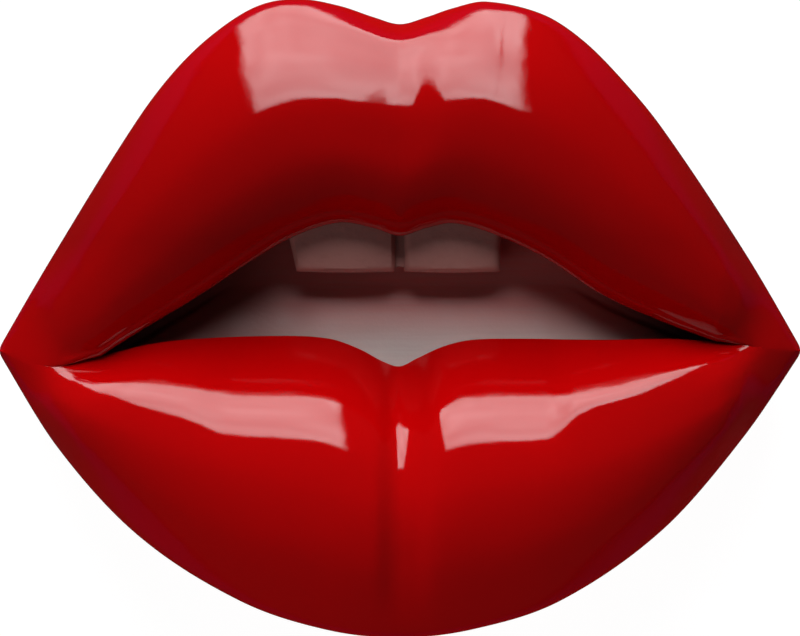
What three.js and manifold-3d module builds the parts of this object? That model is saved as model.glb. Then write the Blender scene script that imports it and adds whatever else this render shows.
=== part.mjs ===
// A one-piece telephone in the shape of a pair of parted lips. It lies on its back on four feet with
// the lips up, and is lifted off the table to talk: the receiver, microphone, keys and hook plunger
// are in the underside. Millimetres. X runs from one corner of the mouth to the other, Y from the
// chin side to the nose side, and Z up from the table.

import * as THREE from 'three';
import { mergeVertices } from 'three/addons/utils/BufferGeometryUtils.js';
import Module from 'manifold-3d';

const wasm = await Module();
wasm.setup();

// Whole object
const overallWidth = 216;
const overallHeight = 171.6;
const partingHeight = 30;      // where the lips meet the rear cover
const partingGap = 0.35;
const touchGap = 0.3;          // between pieces that touch in the real object

// Lips
const upperLipRise = 25.5;     // crest above the parting plane
const lowerLipRise = 28;
const creaseRise = 17;
const tipRise = 3;
const tipNose = 1.2;           // blunt end of each tip
const shellWall = 2.5;
const creaseOverlap = 1;
const linerDepth = 9.6;        // from the parting plane to the mouth's back
const linerThickness = 2;
const linerLap = 5.5;          // how far the liner reaches behind the lips
const linerFront = partingHeight - linerDepth;
const throatDepth = touchGap - linerDepth;

// Rear cover
const coverWall = 2.5;
const coverBase = 2.5;         // underside above the table
const coverTuck = 16;          // how far the cover draws in from rim to underside
const floorTop = coverBase + coverWall;

// Keypad
const keyPitchX = 16;
const keyPitchY = 18;
const keyLengthX = 10;
const keyLengthY = 13;
const keyTravel = 1.4;
const keyTip = 3;
const keyFlange = 1;           // how far the flange stands out round a key, and its thickness
const keyClearance = 0.35;
const keypadCentreY = -8;
const keyRows = [
  ['key_1', 'key_2', 'key_3'],
  ['key_4', 'key_5', 'key_6'],
  ['key_7', 'key_8', 'key_9'],
  ['key_star', 'key_0', 'key_hash'],
  ['key_flash', 'key_mute', 'key_redial'],
];
const bezelMargin = 4;
const bezelLap = 3;
const bezelPlate = 1.5;
const bezelLip = 1.2;
const domeRise = 0.8;
const membraneSheet = 1;
const boardThickness = 1.6;

const halfWidth = overallWidth / 2;
const halfHeight = overallHeight / 2;
const keypadHalfX = keyPitchX * (keyRows.length - 1) / 2 + keyLengthX / 2 + bezelMargin;
const keypadHalfY = keyPitchY + keyLengthY / 2 + bezelMargin;
const bezelBottom = floorTop + touchGap;
const bezelTop = bezelBottom + bezelPlate;
const flangeBottom = bezelTop + touchGap;
const flangeTop = flangeBottom + keyFlange;
const domeBottom = flangeTop + keyTravel + 0.2;
const membraneBottom = domeBottom + domeRise;
const membraneTop = membraneBottom + membraneSheet;
const boardBottom = membraneTop + touchGap;
const boardTop = boardBottom + boardThickness;
const boardHalfX = keypadHalfX + 2.5;
const boardLowY = keypadCentreY - keypadHalfY + 0.5;
const boardHighY = keypadCentreY + keypadHalfY + 14;

// Receiver and microphone, one beyond each end of the keypad
const receiverRadius = 15.7;
const receiverHeight = 7.5;
const seatWall = 2;
const seatHeight = 7;
const gasketThickness = 0.8;
const receiverX = -(boardHalfX + receiverRadius + touchGap + seatWall + 2);
const voiceY = -6;
const microphoneRadius = 4.8;
const bootWall = 2.2;
const bootRadius = microphoneRadius + touchGap + bootWall;
const microphoneX = boardHalfX + bootRadius + touchGap + seatWall + 8;

// Hook plunger, pushed in by the table while the telephone lies on it
const hookY = keypadCentreY + keypadHalfY + bezelLap + 24;
const plungerRadius = 4;
const plungerCollar = 6.5;
const hookTravel = 4;
const guideRadius = plungerCollar + 0.5;
const guideWall = 1.3;
const springTop = 21;
const springWire = 0.45;
const springTurns = 5;

// Fasteners and feet, as places in the plan
const lowScrewX = keypadHalfX + bezelLap + 6;
const lowScrewY = keypadCentreY - keypadHalfY - bezelLap - 0.5;
const caseScrews = [[-44, 48], [44, 48], [-lowScrewX, lowScrewY], [lowScrewX, lowScrewY]];
const linerScrews = [[-46, 25], [46, 25], [-45, -17.5], [45, -17.5]];
const boardScrews = [[-38, keypadCentreY + keypadHalfY + 8], [38, keypadCentreY + keypadHalfY + 8]];
const feet = [[-52, 34], [52, 34], [-36, -52], [36, -52]];
const columnRadius = 5;
const columnBore = 3.3;
const columnWeb = 7.5;         // solid end of a screw column, under the parting plane
const caseThread = 1.4;
const caseScrewDepth = 10;     // thread above the parting plane
const linerBoss = 3.5;
const smallThread = 1;
const threadClearance = 0.35;
const footRadius = 7;
const footPocket = 1.5;

// Slide switches in the underside, the line jack in the nose side, and the rest
const switches = [['ringer_switch', -14], ['dial_mode', 14]];
const switchY = -47;
const switchTravel = 4;
const knobLength = 4;
const knobWidth = 3;
const switchBody = { x: 14, y: 7, z: 6 };
const jack = { x: 13.4, y: 18, z: 12, centreX: 10, base: 12, faceInset: 5 };
const jackSocket = { x: 9.7, y: 12, z: 6.9 };
const ballast = { halfLow: 17, halfHigh: 26, lowY: -66, highY: -54, thickness: 5 };
const ringer = { x: -24, y: 54, radius: 10, height: 5 };
const leadRadius = 0.9;

// Teeth
const tooth = { leftOuter: -29, leftInner: -1.6, rightInner: 1.3, rightOuter: 27.2, bottomY: 12.6 };
const toothFront = partingHeight + 4;
const webFront = partingHeight + 0.5;
const toothLipClearance = 1;

// ---------------------------------------------------------------- lines of the form

// A smooth curve y(x) through hand-placed points.
function curveThrough(points) {
  const last = points.length - 1;
  const slopes = points.map((point, i) => {
    const before = points[Math.max(i - 1, 0)];
    const after = points[Math.min(i + 1, last)];
    return (after[1] - before[1]) / (after[0] - before[0]);
  });
  return (x) => {
    const inside = THREE.MathUtils.clamp(x, points[0][0], points[last][0]);
    let i = 0;
    while (i < last - 1 && points[i + 1][0] <= inside) i += 1;
    const span = points[i + 1][0] - points[i][0];
    const t = (inside - points[i][0]) / span;
    return (1 + 2 * t) * (1 - t) ** 2 * points[i][1] + t * (1 - t) ** 2 * span * slopes[i]
      + t * t * (3 - 2 * t) * points[i + 1][1] + t * t * (t - 1) * span * slopes[i + 1];
  };
}

// Shares of half the width and half the height, so the form follows the overall sizes.
const noseEdge = curveThrough([
  [-1, -0.103], [-0.849, 0.22], [-0.649, 0.625], [-0.549, 0.788], [-0.449, 0.904], [-0.349, 0.98],
  [-0.25, 1], [-0.148, 0.978], [-0.065, 0.943], [0, 0.921], [0.065, 0.943], [0.13, 0.971],
  [0.213, 0.992], [0.352, 0.953], [0.451, 0.873], [0.551, 0.747], [0.651, 0.593], [0.851, 0.214],
  [1, -0.103],
]);
const chinEdge = curveThrough([
  [-1, -0.103], [-0.849, -0.404], [-0.648, -0.68], [-0.398, -0.883], [-0.185, -0.974], [0, -1],
  [0.185, -0.972], [0.398, -0.883], [0.648, -0.664], [0.851, -0.373], [1, -0.103],
]);
const mouthLeft = -0.741;
const mouthRight = 0.781;
const upperRim = curveThrough([
  [mouthLeft, -0.119], [-0.648, -0.044], [-0.5, 0.068], [-0.349, 0.193], [-0.25, 0.261],
  [-0.148, 0.297], [-0.065, 0.28], [0, 0.256], [0.065, 0.28], [0.13, 0.295], [0.222, 0.266],
  [0.352, 0.192], [0.5, 0.073], [0.651, -0.012], [mouthRight, -0.073],
]);
const lowerRim = curveThrough([
  [mouthLeft, -0.119], [-0.63, -0.084], [-0.519, -0.066], [-0.296, -0.056], [-0.176, -0.065],
  [-0.102, -0.097], [-0.037, -0.14], [0, -0.152], [0.042, -0.127], [0.106, -0.09], [0.176, -0.069],
  [0.296, -0.065], [0.5, -0.068], [0.667, -0.065], [mouthRight, -0.073],
]);
const leftCrease = curveThrough([[-1, -0.103], [-0.866, -0.152], [mouthLeft, -0.119]]);
const rightCrease = curveThrough([[mouthRight, -0.073], [0.902, -0.093], [1, -0.103]]);

// How the crest falls away from the middle of a lip (0) to its tip (1).
const crestFall = curveThrough([
  [0, 0.94], [0.14, 1], [0.4, 0.957], [0.65, 0.8], [0.8, 0.58], [0.92, 0.28], [1, 0],
]);
const creaseFall = curveThrough([[0, 1], [0.7, 0.857], [0.8, 0.75], [0.92, 0.39], [1, 0]]);

// Sections of a lip: share of the way from the outer edge to the mouth, and share of the crest.
const upperSection = [
  [0, 0], [0, 0.2], [0.0175, 0.275], [0.1, 0.475], [0.2, 0.68], [0.3, 0.83], [0.44, 0.965],
  [0.58, 1], [0.72, 0.96], [0.835, 0.83], [0.915, 0.665], [0.97, 0.545], [1, 0.385], [0.99, 0.3],
];
const lowerSection = [
  [0, 0], [0, 0.3], [0.0175, 0.375], [0.09, 0.54], [0.18, 0.72], [0.27, 0.86], [0.38, 0.96],
  [0.49, 1], [0.59, 0.97], [0.68, 0.88], [0.76, 0.74], [0.83, 0.56], [0.96, 0.1], [1, -0.17],
];
const creaseSection = [
  [0, 0], [0, 0.34], [0.02, 0.42], [0.1, 0.55], [0.2, 0.67], [0.3, 0.77], [0.42, 0.87],
  [0.54, 0.94], [0.65, 0.975], [0.75, 0.99], [0.83, 1], [0.89, 1], [0.94, 1], [1, 1],
];

const halfSteps = 16;          // stations from the middle of a lip to its tip
const creaseSteps = 4;         // of which these lie beyond the corner of the mouth
const creaseFadeEnd = 0.9;

// Points along a curve at equal distances, in millimetres.
function walkCurve(curve, from, to, steps) {
  const fine = 400;
  const points = [];
  const travelled = [0];
  for (let i = 0; i <= fine; i += 1) {
    const x = from + (to - from) * i / fine;
    points.push(new THREE.Vector2(x * halfWidth, curve(x) * halfHeight));
    if (i > 0) travelled.push(travelled[i - 1] + points[i].distanceTo(points[i - 1]));
  }
  const walked = [];
  let j = 0;
  for (let i = 0; i <= steps; i += 1) {
    const goal = travelled[fine] * i / steps;
    while (j < fine - 1 && travelled[j + 1] < goal) j += 1;
    const t = (goal - travelled[j]) / (travelled[j + 1] - travelled[j]);
    walked.push(points[j].clone().lerp(points[j + 1], t));
  }
  return walked;
}

function joinWalks(...walks) {
  return walks.flatMap((walk, i) => (i === 0 ? walk : walk.slice(1)));
}

function edgeWalk(curve) {
  return joinWalks(walkCurve(curve, -1, 0, halfSteps), walkCurve(curve, 0, 1, halfSteps));
}

function rimWalk(rim) {
  const nose = tipNose / halfWidth;
  const mouthSteps = halfSteps - creaseSteps;
  return joinWalks(
    walkCurve(leftCrease, -1 + nose, mouthLeft, creaseSteps),
    walkCurve(rim, mouthLeft, 0, mouthSteps),
    walkCurve(rim, 0, mouthRight, mouthSteps),
    walkCurve(rightCrease, mouthRight, 1 - nose, creaseSteps),
  );
}

const noseWalk = edgeWalk(noseEdge);
const chinWalk = edgeWalk(chinEdge);

// ---------------------------------------------------------------- solids

function toSolid(geometry) {
  if (!(geometry instanceof THREE.BufferGeometry)) return geometry;
  const bare = geometry.clone();
  bare.deleteAttribute('normal');
  bare.deleteAttribute('uv');
  const merged = mergeVertices(bare, 1e-4);
  return new wasm.Manifold(new wasm.Mesh({
    numProp: 3,
    vertProperties: new Float32Array(merged.getAttribute('position').array),
    triVerts: new Uint32Array(merged.index.array),
  }));
}

function toGeometry(solid) {
  const mesh = solid.getMesh();
  const geometry = new THREE.BufferGeometry();
  geometry.setAttribute('position', new THREE.BufferAttribute(mesh.vertProperties, 3));
  geometry.setIndex(new THREE.BufferAttribute(mesh.triVerts, 1));
  return geometry;
}

const join = (...pieces) => pieces.map(toSolid).reduce((whole, piece) => whole.add(piece));
const cut = (piece, ...tools) => (
  tools.map(toSolid).reduce((rest, tool) => rest.subtract(tool), toSolid(piece))
);
const common = (a, b) => toSolid(a).intersect(toSolid(b));

// A closed skin over rings of points. Each end is closed by a fan round the ring's middle.
function skin(rings) {
  const around = rings[0].length;
  const middles = [rings[0], rings[rings.length - 1]].map((ring) => (
    ring.reduce((sum, point) => sum.add(point), new THREE.Vector3()).divideScalar(around)
  ));
  const positions = [...rings.flat(), ...middles].flatMap((point) => [point.x, point.y, point.z]);
  const index = [];
  for (let i = 0; i < rings.length - 1; i += 1) {
    for (let j = 0; j < around; j += 1) {
      const a = i * around + j;
      const b = i * around + (j + 1) % around;
      index.push(a, a + around, b + around, a, b + around, b);
    }
  }
  const first = rings.length * around;
  for (let j = 0; j < around; j += 1) {
    const next = (j + 1) % around;
    index.push(first, j, next, first + 1, first - around + next, first - around + j);
  }
  const geometry = new THREE.BufferGeometry();
  geometry.setAttribute('position', new THREE.Float32BufferAttribute(positions, 3));
  geometry.setIndex(signedVolume(positions, index) < 0 ? index.reverse() : index);
  return geometry;
}

function signedVolume(positions, index) {
  const corner = (k) => new THREE.Vector3().fromArray(positions, index[k] * 3);
  let volume = 0;
  for (let k = 0; k < index.length; k += 3) {
    volume += corner(k).dot(corner(k + 1).cross(corner(k + 2)));
  }
  return volume;
}

function rod(radius, low, high, x, y, sides = 14, topRadius = radius) {
  return new THREE.CylinderGeometry(topRadius, radius, high - low, sides)
    .rotateX(Math.PI / 2).translate(x, y, (low + high) / 2);
}

function block(lowX, highX, lowY, highY, lowZ, highZ) {
  return new THREE.BoxGeometry(highX - lowX, highY - lowY, highZ - lowZ)
    .translate((lowX + highX) / 2, (lowY + highY) / 2, (lowZ + highZ) / 2);
}

function roundedOutline(halfX, halfY, corner, path = new THREE.Shape()) {
  path.absarc(halfX - corner, halfY - corner, corner, 0, Math.PI / 2);
  path.absarc(-halfX + corner, halfY - corner, corner, Math.PI / 2, Math.PI);
  path.absarc(-halfX + corner, -halfY + corner, corner, Math.PI, 1.5 * Math.PI);
  path.absarc(halfX - corner, -halfY + corner, corner, 1.5 * Math.PI, 2 * Math.PI);
  return path;
}

function plate(shape, low, high, curveSegments = 3) {
  return new THREE.ExtrudeGeometry(shape, { depth: high - low, bevelEnabled: false, curveSegments })
    .translate(0, 0, low);
}

function tube(points, radius, steps, sides = 8) {
  const section = new THREE.Shape().absarc(0, 0, radius, 0, 2 * Math.PI);
  const path = Array.isArray(points)
    ? new THREE.CatmullRomCurve3(points.map((point) => new THREE.Vector3(...point)))
    : points;
  return new THREE.ExtrudeGeometry(section, { steps, extrudePath: path, curveSegments: sides / 2 });
}

// ---------------------------------------------------------------- front shell

// One lip as stations from tip to tip, each with its section in two dimensions.
function lipStations(isUpper) {
  const edge = isUpper ? noseWalk : chinWalk;
  const rim = rimWalk(isUpper ? upperRim : lowerRim);
  const rise = isUpper ? upperLipRise : lowerLipRise;
  const section = isUpper ? upperSection : lowerSection;
  const corner = 1 - creaseSteps / halfSteps;
  return edge.map((outer, i) => {
    const share = Math.abs(i / halfSteps - 1);
    const closed = THREE.MathUtils.smoothstep(share, corner - 0.02, creaseFadeEnd);
    const crest = tipRise + (rise - tipRise) * crestFall(share);
    const crease = tipRise + (creaseRise - tipRise) * creaseFall(share);
    const profile = section.map(([reach, height], k) => [
      THREE.MathUtils.lerp(reach, creaseSection[k][0], closed),
      THREE.MathUtils.lerp(height * crest, creaseSection[k][1] * crease, closed),
    ]);
    const undercut = isUpper ? 0.94 : 0.97;
    return { outer, inner: rim[i], span: outer.distanceTo(rim[i]), crest, closed, profile, undercut };
  });
}

function lipSkin(stations, sections) {
  const rings = stations.map((station, i) => sections[i].map(([reach, height]) => {
    const flat = station.outer.clone().lerp(station.inner, reach);
    return new THREE.Vector3(flat.x, flat.y, partingHeight + height);
  }));
  return skin(rings);
}

function lipOuter(isUpper) {
  const stations = lipStations(isUpper);
  const sections = stations.map(({ span, closed, profile, undercut }) => {
    const wall = Math.min((shellWall + 0.5) / span, 0.3);
    const end = THREE.MathUtils.lerp(undercut, 1 + creaseOverlap / span, closed);
    const low = throatDepth * (1 - closed);
    return [...profile, [end, low], [end - wall, low], [end - (1 + closed) * wall, 0]];
  });
  return lipSkin(stations, sections);
}

function lipInner(isUpper) {
  const roomy = lipStations(isUpper).filter(({ span }) => span > 5 * shellWall);
  const below = throatDepth - 5;
  const sections = roomy.map(({ span, closed, crest, profile, undercut }) => {
    const wall = shellWall / span;
    const end = THREE.MathUtils.lerp(undercut, 1, closed) - wall;
    const hollow = profile.slice(1).map(([reach, height]) => [
      wall + reach * (1 - 2 * wall),
      height * (crest - shellWall) / crest,
    ]);
    return [[wall, below], ...hollow, [end, throatDepth * (1 - closed) - 0.5], [end, below]];
  });
  return lipSkin(roomy, sections);
}

function frontShell() {
  const outside = join(lipOuter(true), lipOuter(false));
  const inside = join(lipInner(true), lipInner(false));
  const high = partingHeight + lowerLipRise;
  const caseBosses = caseScrews.map(([x, y]) => (
    common(rod(columnRadius - 0.5, partingHeight, high, x, y), outside)
  ));
  const linerBosses = linerScrews.map(([x, y]) => join(
    rod(linerBoss, linerFront + touchGap, partingHeight + 1, x, y, 16),
    common(rod(linerBoss, partingHeight + 0.5, high, x, y, 16), outside),
  ));
  const casePilots = caseScrews.map(([x, y]) => (
    rod(caseThread + threadClearance, partingHeight - 1, partingHeight + caseScrewDepth + 1, x, y, 12)
  ));
  const linerPilots = linerScrews.map(([x, y]) => (
    rod(smallThread + threadClearance, linerFront - 1, linerFront + 8, x, y, 10)
  ));
  return cut(join(cut(outside, inside), ...caseBosses, ...linerBosses), ...casePilots, ...linerPilots);
}

// ---------------------------------------------------------------- mouth

// The mouth's back: a plate behind the lips, and a ramp that comes forward at the lower lip.
function mouthLiner() {
  const steps = 18;
  const reachLeft = mouthLeft * halfWidth - linerLap;
  const reachRight = mouthRight * halfWidth + linerLap;
  const upper = [];
  const lower = [];
  for (let i = 0; i <= steps; i += 1) {
    const x = THREE.MathUtils.lerp(reachLeft, reachRight, i / steps);
    const share = THREE.MathUtils.clamp(x / halfWidth, mouthLeft, mouthRight);
    upper.push(new THREE.Vector2(x, upperRim(share) * halfHeight + linerLap));
    lower.push(new THREE.Vector2(x, lowerRim(share) * halfHeight - linerLap));
  }
  const back = linerFront - linerThickness;
  const sheet = plate(new THREE.Shape([...lower, ...upper.reverse()]), back, linerFront);
  const ears = linerScrews.map(([x, y]) => rod(linerBoss + 1.5, back, linerFront, x, y, 16));
  const towards = linerScrews.map(([x, y]) => {
    const inwardY = y > 0 ? y - 10 : y + 10;
    return block(x - 3, x + 3, Math.min(y, inwardY), Math.max(y, inwardY), back, linerFront);
  });
  const holes = linerScrews.map(([x, y]) => (
    rod(smallThread + threadClearance, back - 1, linerFront + 1, x, y, 12)
  ));
  return cut(join(sheet, ...ears, ...towards, mouthRamp()), ...holes);
}

function mouthRamp() {
  const steps = 14;
  const startY = 8;
  const slope = 0.24;
  const rings = [];
  for (let i = 0; i <= steps; i += 1) {
    const share = THREE.MathUtils.lerp(mouthLeft + 0.13, mouthRight - 0.16, i / steps);
    const lowY = lowerRim(share) * halfHeight + 1.2;
    const highY = Math.min(startY, upperRim(share) * halfHeight - 0.5);
    const lift = (y) => linerFront + slope * (startY + 1 - y);
    rings.push([[highY, linerFront - 0.5], [highY, lift(highY)], [lowY, lift(lowY)], [lowY, linerFront - 0.5]]
      .map(([y, z]) => new THREE.Vector3(share * halfWidth, y, z)));
  }
  return skin(rings);
}

function toothOutline(outerX, innerX) {
  const steps = 5;
  const bevel = 1;
  const inset = Math.sign(innerX - outerX) * bevel;
  const top = [];
  for (let i = 0; i <= steps; i += 1) {
    const x = THREE.MathUtils.lerp(outerX + inset, innerX - inset, i / steps);
    top.push(new THREE.Vector2(x, upperRim(x / halfWidth) * halfHeight - toothLipClearance - bevel));
  }
  const low = tooth.bottomY + bevel;
  const foot = [new THREE.Vector2(innerX - inset, low), new THREE.Vector2(outerX + 2 * inset, low)];
  return new THREE.Shape([...foot, ...top]);
}

function frontTeeth() {
  const back = linerFront + touchGap + 3.2;
  const bevel = { bevelEnabled: true, bevelSize: 1, bevelThickness: 1, bevelSegments: 2 };
  const sides = [[tooth.leftOuter, tooth.leftInner], [tooth.rightOuter, tooth.rightInner]];
  const teeth = sides.map(([outer, inner]) => (
    new THREE.ExtrudeGeometry(toothOutline(outer, inner), { depth: toothFront - back - 2, ...bevel })
      .translate(0, 0, back + 1)
  ));
  const webTop = upperRim(0) * halfHeight - toothLipClearance - 1;
  const web = block(
    tooth.leftInner - 1, tooth.rightInner + 1, tooth.bottomY + 1.5, webTop, back + 1, webFront,
  );
  const root = block(
    tooth.leftOuter + 3, tooth.rightOuter - 3, tooth.bottomY + 2, webTop - 2, linerFront + touchGap, back + 2,
  );
  return join(...teeth, web, root);
}

// ---------------------------------------------------------------- rear cover

// The cover's plan at a height: the outline drawn in, most of all near the underside.
function coverRing(drop, inset, z) {
  const tuck = coverTuck * (1 - (1 - drop ** 3) ** 0.45) + inset;
  const outline = [...noseWalk, ...chinWalk.slice(1, -1).reverse()];
  return outline.map((point) => new THREE.Vector3(
    point.x * (1 - tuck / halfWidth),
    point.y * (1 - tuck / halfHeight),
    z,
  ));
}

function coverBowl(inset, base, top) {
  const drops = [0, 0.45, 0.75, 0.93, 1];
  const rim = partingHeight - partingGap;
  const rings = drops.map((drop) => coverRing(drop, inset, THREE.MathUtils.lerp(rim, base, drop)));
  if (top > rim) rings.unshift(coverRing(0, inset, top));
  return skin(rings);
}

function seat(x, y, radius, height) {
  return cut(
    rod(radius + touchGap + seatWall, floorTop - 0.5, floorTop + height, x, y, 20),
    rod(radius + touchGap, floorTop - 1, floorTop + height + 1, x, y, 20),
  );
}

function soundHoles(x, y, ringRadius, count, radius) {
  const holes = [rod(radius, coverBase - 1, floorTop + 1, x, y, 8)];
  for (let i = 0; i < count; i += 1) {
    const turn = 2 * Math.PI * i / count;
    const holeX = x + ringRadius * Math.cos(turn);
    const holeY = y + ringRadius * Math.sin(turn);
    holes.push(rod(radius, coverBase - 1, floorTop + 1, holeX, holeY, 8));
  }
  return holes;
}

function jackFaceY() {
  return noseEdge(jack.centreX / halfWidth) * halfHeight - jack.faceInset;
}

function rearCover() {
  const outside = coverBowl(0, coverBase, 0);
  const bowl = cut(outside, coverBowl(coverWall, floorTop, partingHeight + 5));
  const rim = partingHeight - partingGap;
  const columns = caseScrews.map(([x, y]) => common(rod(columnRadius, coverBase, rim, x, y), outside));
  const boardBosses = boardScrews.map(([x, y]) => rod(3, floorTop - 0.5, boardBottom - touchGap, x, y, 14));
  const posts = [-1, 1].map((side) => rod(2.2, floorTop - 0.5, springTop, side * 11.5, hookY, 12));
  const guide = cut(
    rod(guideRadius + guideWall, floorTop - 0.5, 12, 0, hookY, 16),
    rod(guideRadius, floorTop - 1, 13, 0, hookY, 16),
  );
  const jackFace = jackFaceY();
  const pedestal = block(
    jack.centreX - 5, jack.centreX + 5, jackFace - jack.y + 1, jackFace - 9,
    floorTop - 0.5, jack.base - touchGap,
  );
  const seats = [
    seat(receiverX, voiceY, receiverRadius, seatHeight),
    seat(microphoneX, voiceY, bootRadius, 4),
    seat(ringer.x, ringer.y, ringer.radius, 3),
  ];
  const body = join(bowl, ...columns, ...boardBosses, ...posts, guide, common(pedestal, outside), ...seats);

  const windowShape = roundedOutline(keypadHalfX, keypadHalfY, 5);
  const window = plate(windowShape, coverBase - 1, floorTop + 1).translate(0, keypadCentreY, 0);
  const columnBores = caseScrews.flatMap(([x, y]) => [
    rod(columnBore, coverBase - 1, rim - columnWeb, x, y),
    rod(caseThread + threadClearance, coverBase, rim + 1, x, y, 12),
  ]);
  const pockets = feet.map(([x, y]) => (
    rod(footRadius + touchGap, coverBase - 1, coverBase + footPocket, x, y, 16)
  ));
  const boardPilots = boardScrews.map(([x, y]) => (
    rod(smallThread + threadClearance, floorTop + 1, boardBottom, x, y, 10)
  ));
  const slots = switches.map(([, x]) => {
    const half = (knobLength + switchTravel) / 2 + 0.8;
    const reach = knobWidth / 2 + 0.4;
    return block(x - half, x + half, switchY - reach, switchY + reach, coverBase - 1, floorTop + 1);
  });
  const jackHole = block(
    jack.centreX - jack.x / 2 - touchGap, jack.centreX + jack.x / 2 + touchGap,
    jackFace - jack.y, halfHeight + 5, jack.base - touchGap, jack.base + jack.z + touchGap,
  );
  return cut(
    body, window, ...columnBores, ...pockets, ...boardPilots, ...slots, jackHole,
    rod(plungerRadius + touchGap, coverBase - 1, floorTop + 1, 0, hookY, 16),
    ...soundHoles(receiverX, voiceY, 6, 6, 1.2),
    ...soundHoles(microphoneX, voiceY, 2.8, 3, 0.9),
    ...soundHoles(ringer.x, ringer.y, 4, 4, 1.1),
  );
}

// ---------------------------------------------------------------- keypad

function keyPlace(row, column) {
  const x = (row - (keyRows.length - 1) / 2) * keyPitchX;
  const y = keypadCentreY + (1 - column) * keyPitchY;
  return [x, y];
}

function forEachKey(make) {
  return keyRows.flatMap((names, row) => names.map((name, column) => make(...keyPlace(row, column), name)));
}

function key() {
  const bevel = 0.8;
  const ring = (inset, z) => (
    roundedOutline(keyLengthX / 2 - inset, keyLengthY / 2 - inset, 2 - inset)
      .getPoints(2).slice(0, -1).map((point) => new THREE.Vector3(point.x, point.y, z))
  );
  const cap = skin([ring(bevel, keyTip), ring(0, keyTip + bevel), ring(0, flangeBottom + 0.4)]);
  const halfX = keyLengthX / 2 + keyFlange;
  const halfY = keyLengthY / 2 + keyFlange;
  return join(cap, block(-halfX, halfX, -halfY, halfY, flangeBottom, flangeTop));
}

function keypadBezel() {
  const tray = roundedOutline(keypadHalfX - touchGap, keypadHalfY - touchGap, 4.7);
  const lipInside = roundedOutline(keypadHalfX - touchGap - bezelLip, keypadHalfY - touchGap - bezelLip, 3.5);
  const flange = roundedOutline(keypadHalfX + bezelLap, keypadHalfY + bezelLap, 6);
  const windows = forEachKey((x, y) => plate(
    roundedOutline(keyLengthX / 2 + keyClearance, keyLengthY / 2 + keyClearance, 2),
    bezelBottom - 1, bezelTop + 1, 1,
  ).translate(x, y - keypadCentreY, 0));
  const lip = cut(
    plate(tray, coverBase + 0.3, bezelBottom + 0.5),
    plate(lipInside, coverBase - 1, bezelBottom),
  );
  return cut(join(plate(flange, bezelBottom, bezelTop), lip), ...windows).translate([0, keypadCentreY, 0]);
}

function keypadMembrane() {
  const sheet = plate(roundedOutline(keypadHalfX - 2, keypadHalfY - 2, 3), membraneBottom, membraneTop)
    .translate(0, keypadCentreY, 0);
  const domes = forEachKey((x, y) => rod(2.6, domeBottom, membraneBottom + 0.3, x, y, 8, 4.2));
  return join(sheet, ...domes);
}

function circuitBoard() {
  const sheet = block(-boardHalfX, boardHalfX, boardLowY, boardHighY, boardBottom, boardTop);
  const holes = boardScrews.map(([x, y]) => (
    rod(smallThread + threadClearance, boardBottom - 1, boardTop + 1, x, y, 12)
  ));
  return cut(sheet, ...holes);
}

function diallerChip() {
  const base = boardTop + touchGap;
  const body = block(-30, -10, -3, 3.4, base + 0.6, base + 3.8);
  const legs = [];
  for (let i = 0; i < 8; i += 1) {
    const x = -28.9 + i * 2.54;
    legs.push(block(x - 0.4, x + 0.4, -4, 4.4, base, base + 1.6));
  }
  return join(body, ...legs);
}

function speechTransformer() {
  const base = boardTop + touchGap;
  const core = block(20, 36, -36, -24, base + 1, base + 12);
  const coil = block(18, 38, -34, -26, base, base + 9);
  return join(core, coil);
}

function capacitor() {
  const profile = [[0, 0], [3.1, 0], [3.1, 0.9], [2.8, 1.3], [3.1, 1.7], [3.1, 10.4], [2.7, 11], [0, 11]];
  const points = profile.map(([radius, height]) => new THREE.Vector2(radius, height));
  return new THREE.LatheGeometry(points, 12).rotateX(Math.PI / 2).translate(0, 0, boardTop + touchGap);
}

// ---------------------------------------------------------------- receiver, microphone, ringer

const receiverBase = floorTop + touchGap + gasketThickness + touchGap;
const receiverTop = receiverBase + receiverHeight;

function receiverCapsule() {
  const step = receiverRadius * 0.72;
  const profile = [
    [0, receiverBase + 0.8], [5, receiverBase + 0.8], [6, receiverBase], [receiverRadius - 1, receiverBase],
    [receiverRadius, receiverBase + 1], [receiverRadius, receiverTop - 3], [step, receiverTop - 2.4],
    [step, receiverTop], [0, receiverTop],
  ];
  return new THREE.LatheGeometry(profile.map(([r, z]) => new THREE.Vector2(r, z)), 20)
    .rotateX(Math.PI / 2).translate(receiverX, voiceY, 0);
}

function receiverGasket() {
  const low = floorTop + touchGap;
  return cut(
    rod(receiverRadius - 0.4, low, low + gasketThickness, receiverX, voiceY, 20),
    rod(9, low - 1, low + gasketThickness + 1, receiverX, voiceY, 16),
  );
}

function receiverRetainer() {
  const low = receiverTop + touchGap;
  const reach = receiverRadius + touchGap + seatWall + touchGap;
  const ring = cut(
    rod(receiverRadius + 1, low, low + 1.4, receiverX, voiceY, 20),
    rod(7, low - 1, low + 3, receiverX, voiceY),
  );
  const arms = [-1, 1].flatMap((side) => {
    const inner = voiceY + side * reach;
    const outer = voiceY + side * (reach + 1.4);
    const start = voiceY + side * (reach - 6);
    return [
      block(receiverX - 3, receiverX + 3, Math.min(start, outer), Math.max(start, outer), low, low + 1.4),
      block(
        receiverX - 3, receiverX + 3, Math.min(inner, outer), Math.max(inner, outer),
        floorTop + touchGap, low + 0.5,
      ),
    ];
  });
  return join(ring, ...arms);
}

function microphoneCapsule() {
  return rod(microphoneRadius, floorTop + touchGap + 1.5, floorTop + touchGap + 8, microphoneX, voiceY, 16);
}

function microphoneBoot() {
  const low = floorTop + touchGap;
  return cut(
    rod(bootRadius, low, low + 7, microphoneX, voiceY, 16),
    rod(microphoneRadius + touchGap, low + 1.2, low + 8, microphoneX, voiceY, 16),
    rod(3.8, low - 1, low + 2, microphoneX, voiceY, 16),
  );
}

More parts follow.
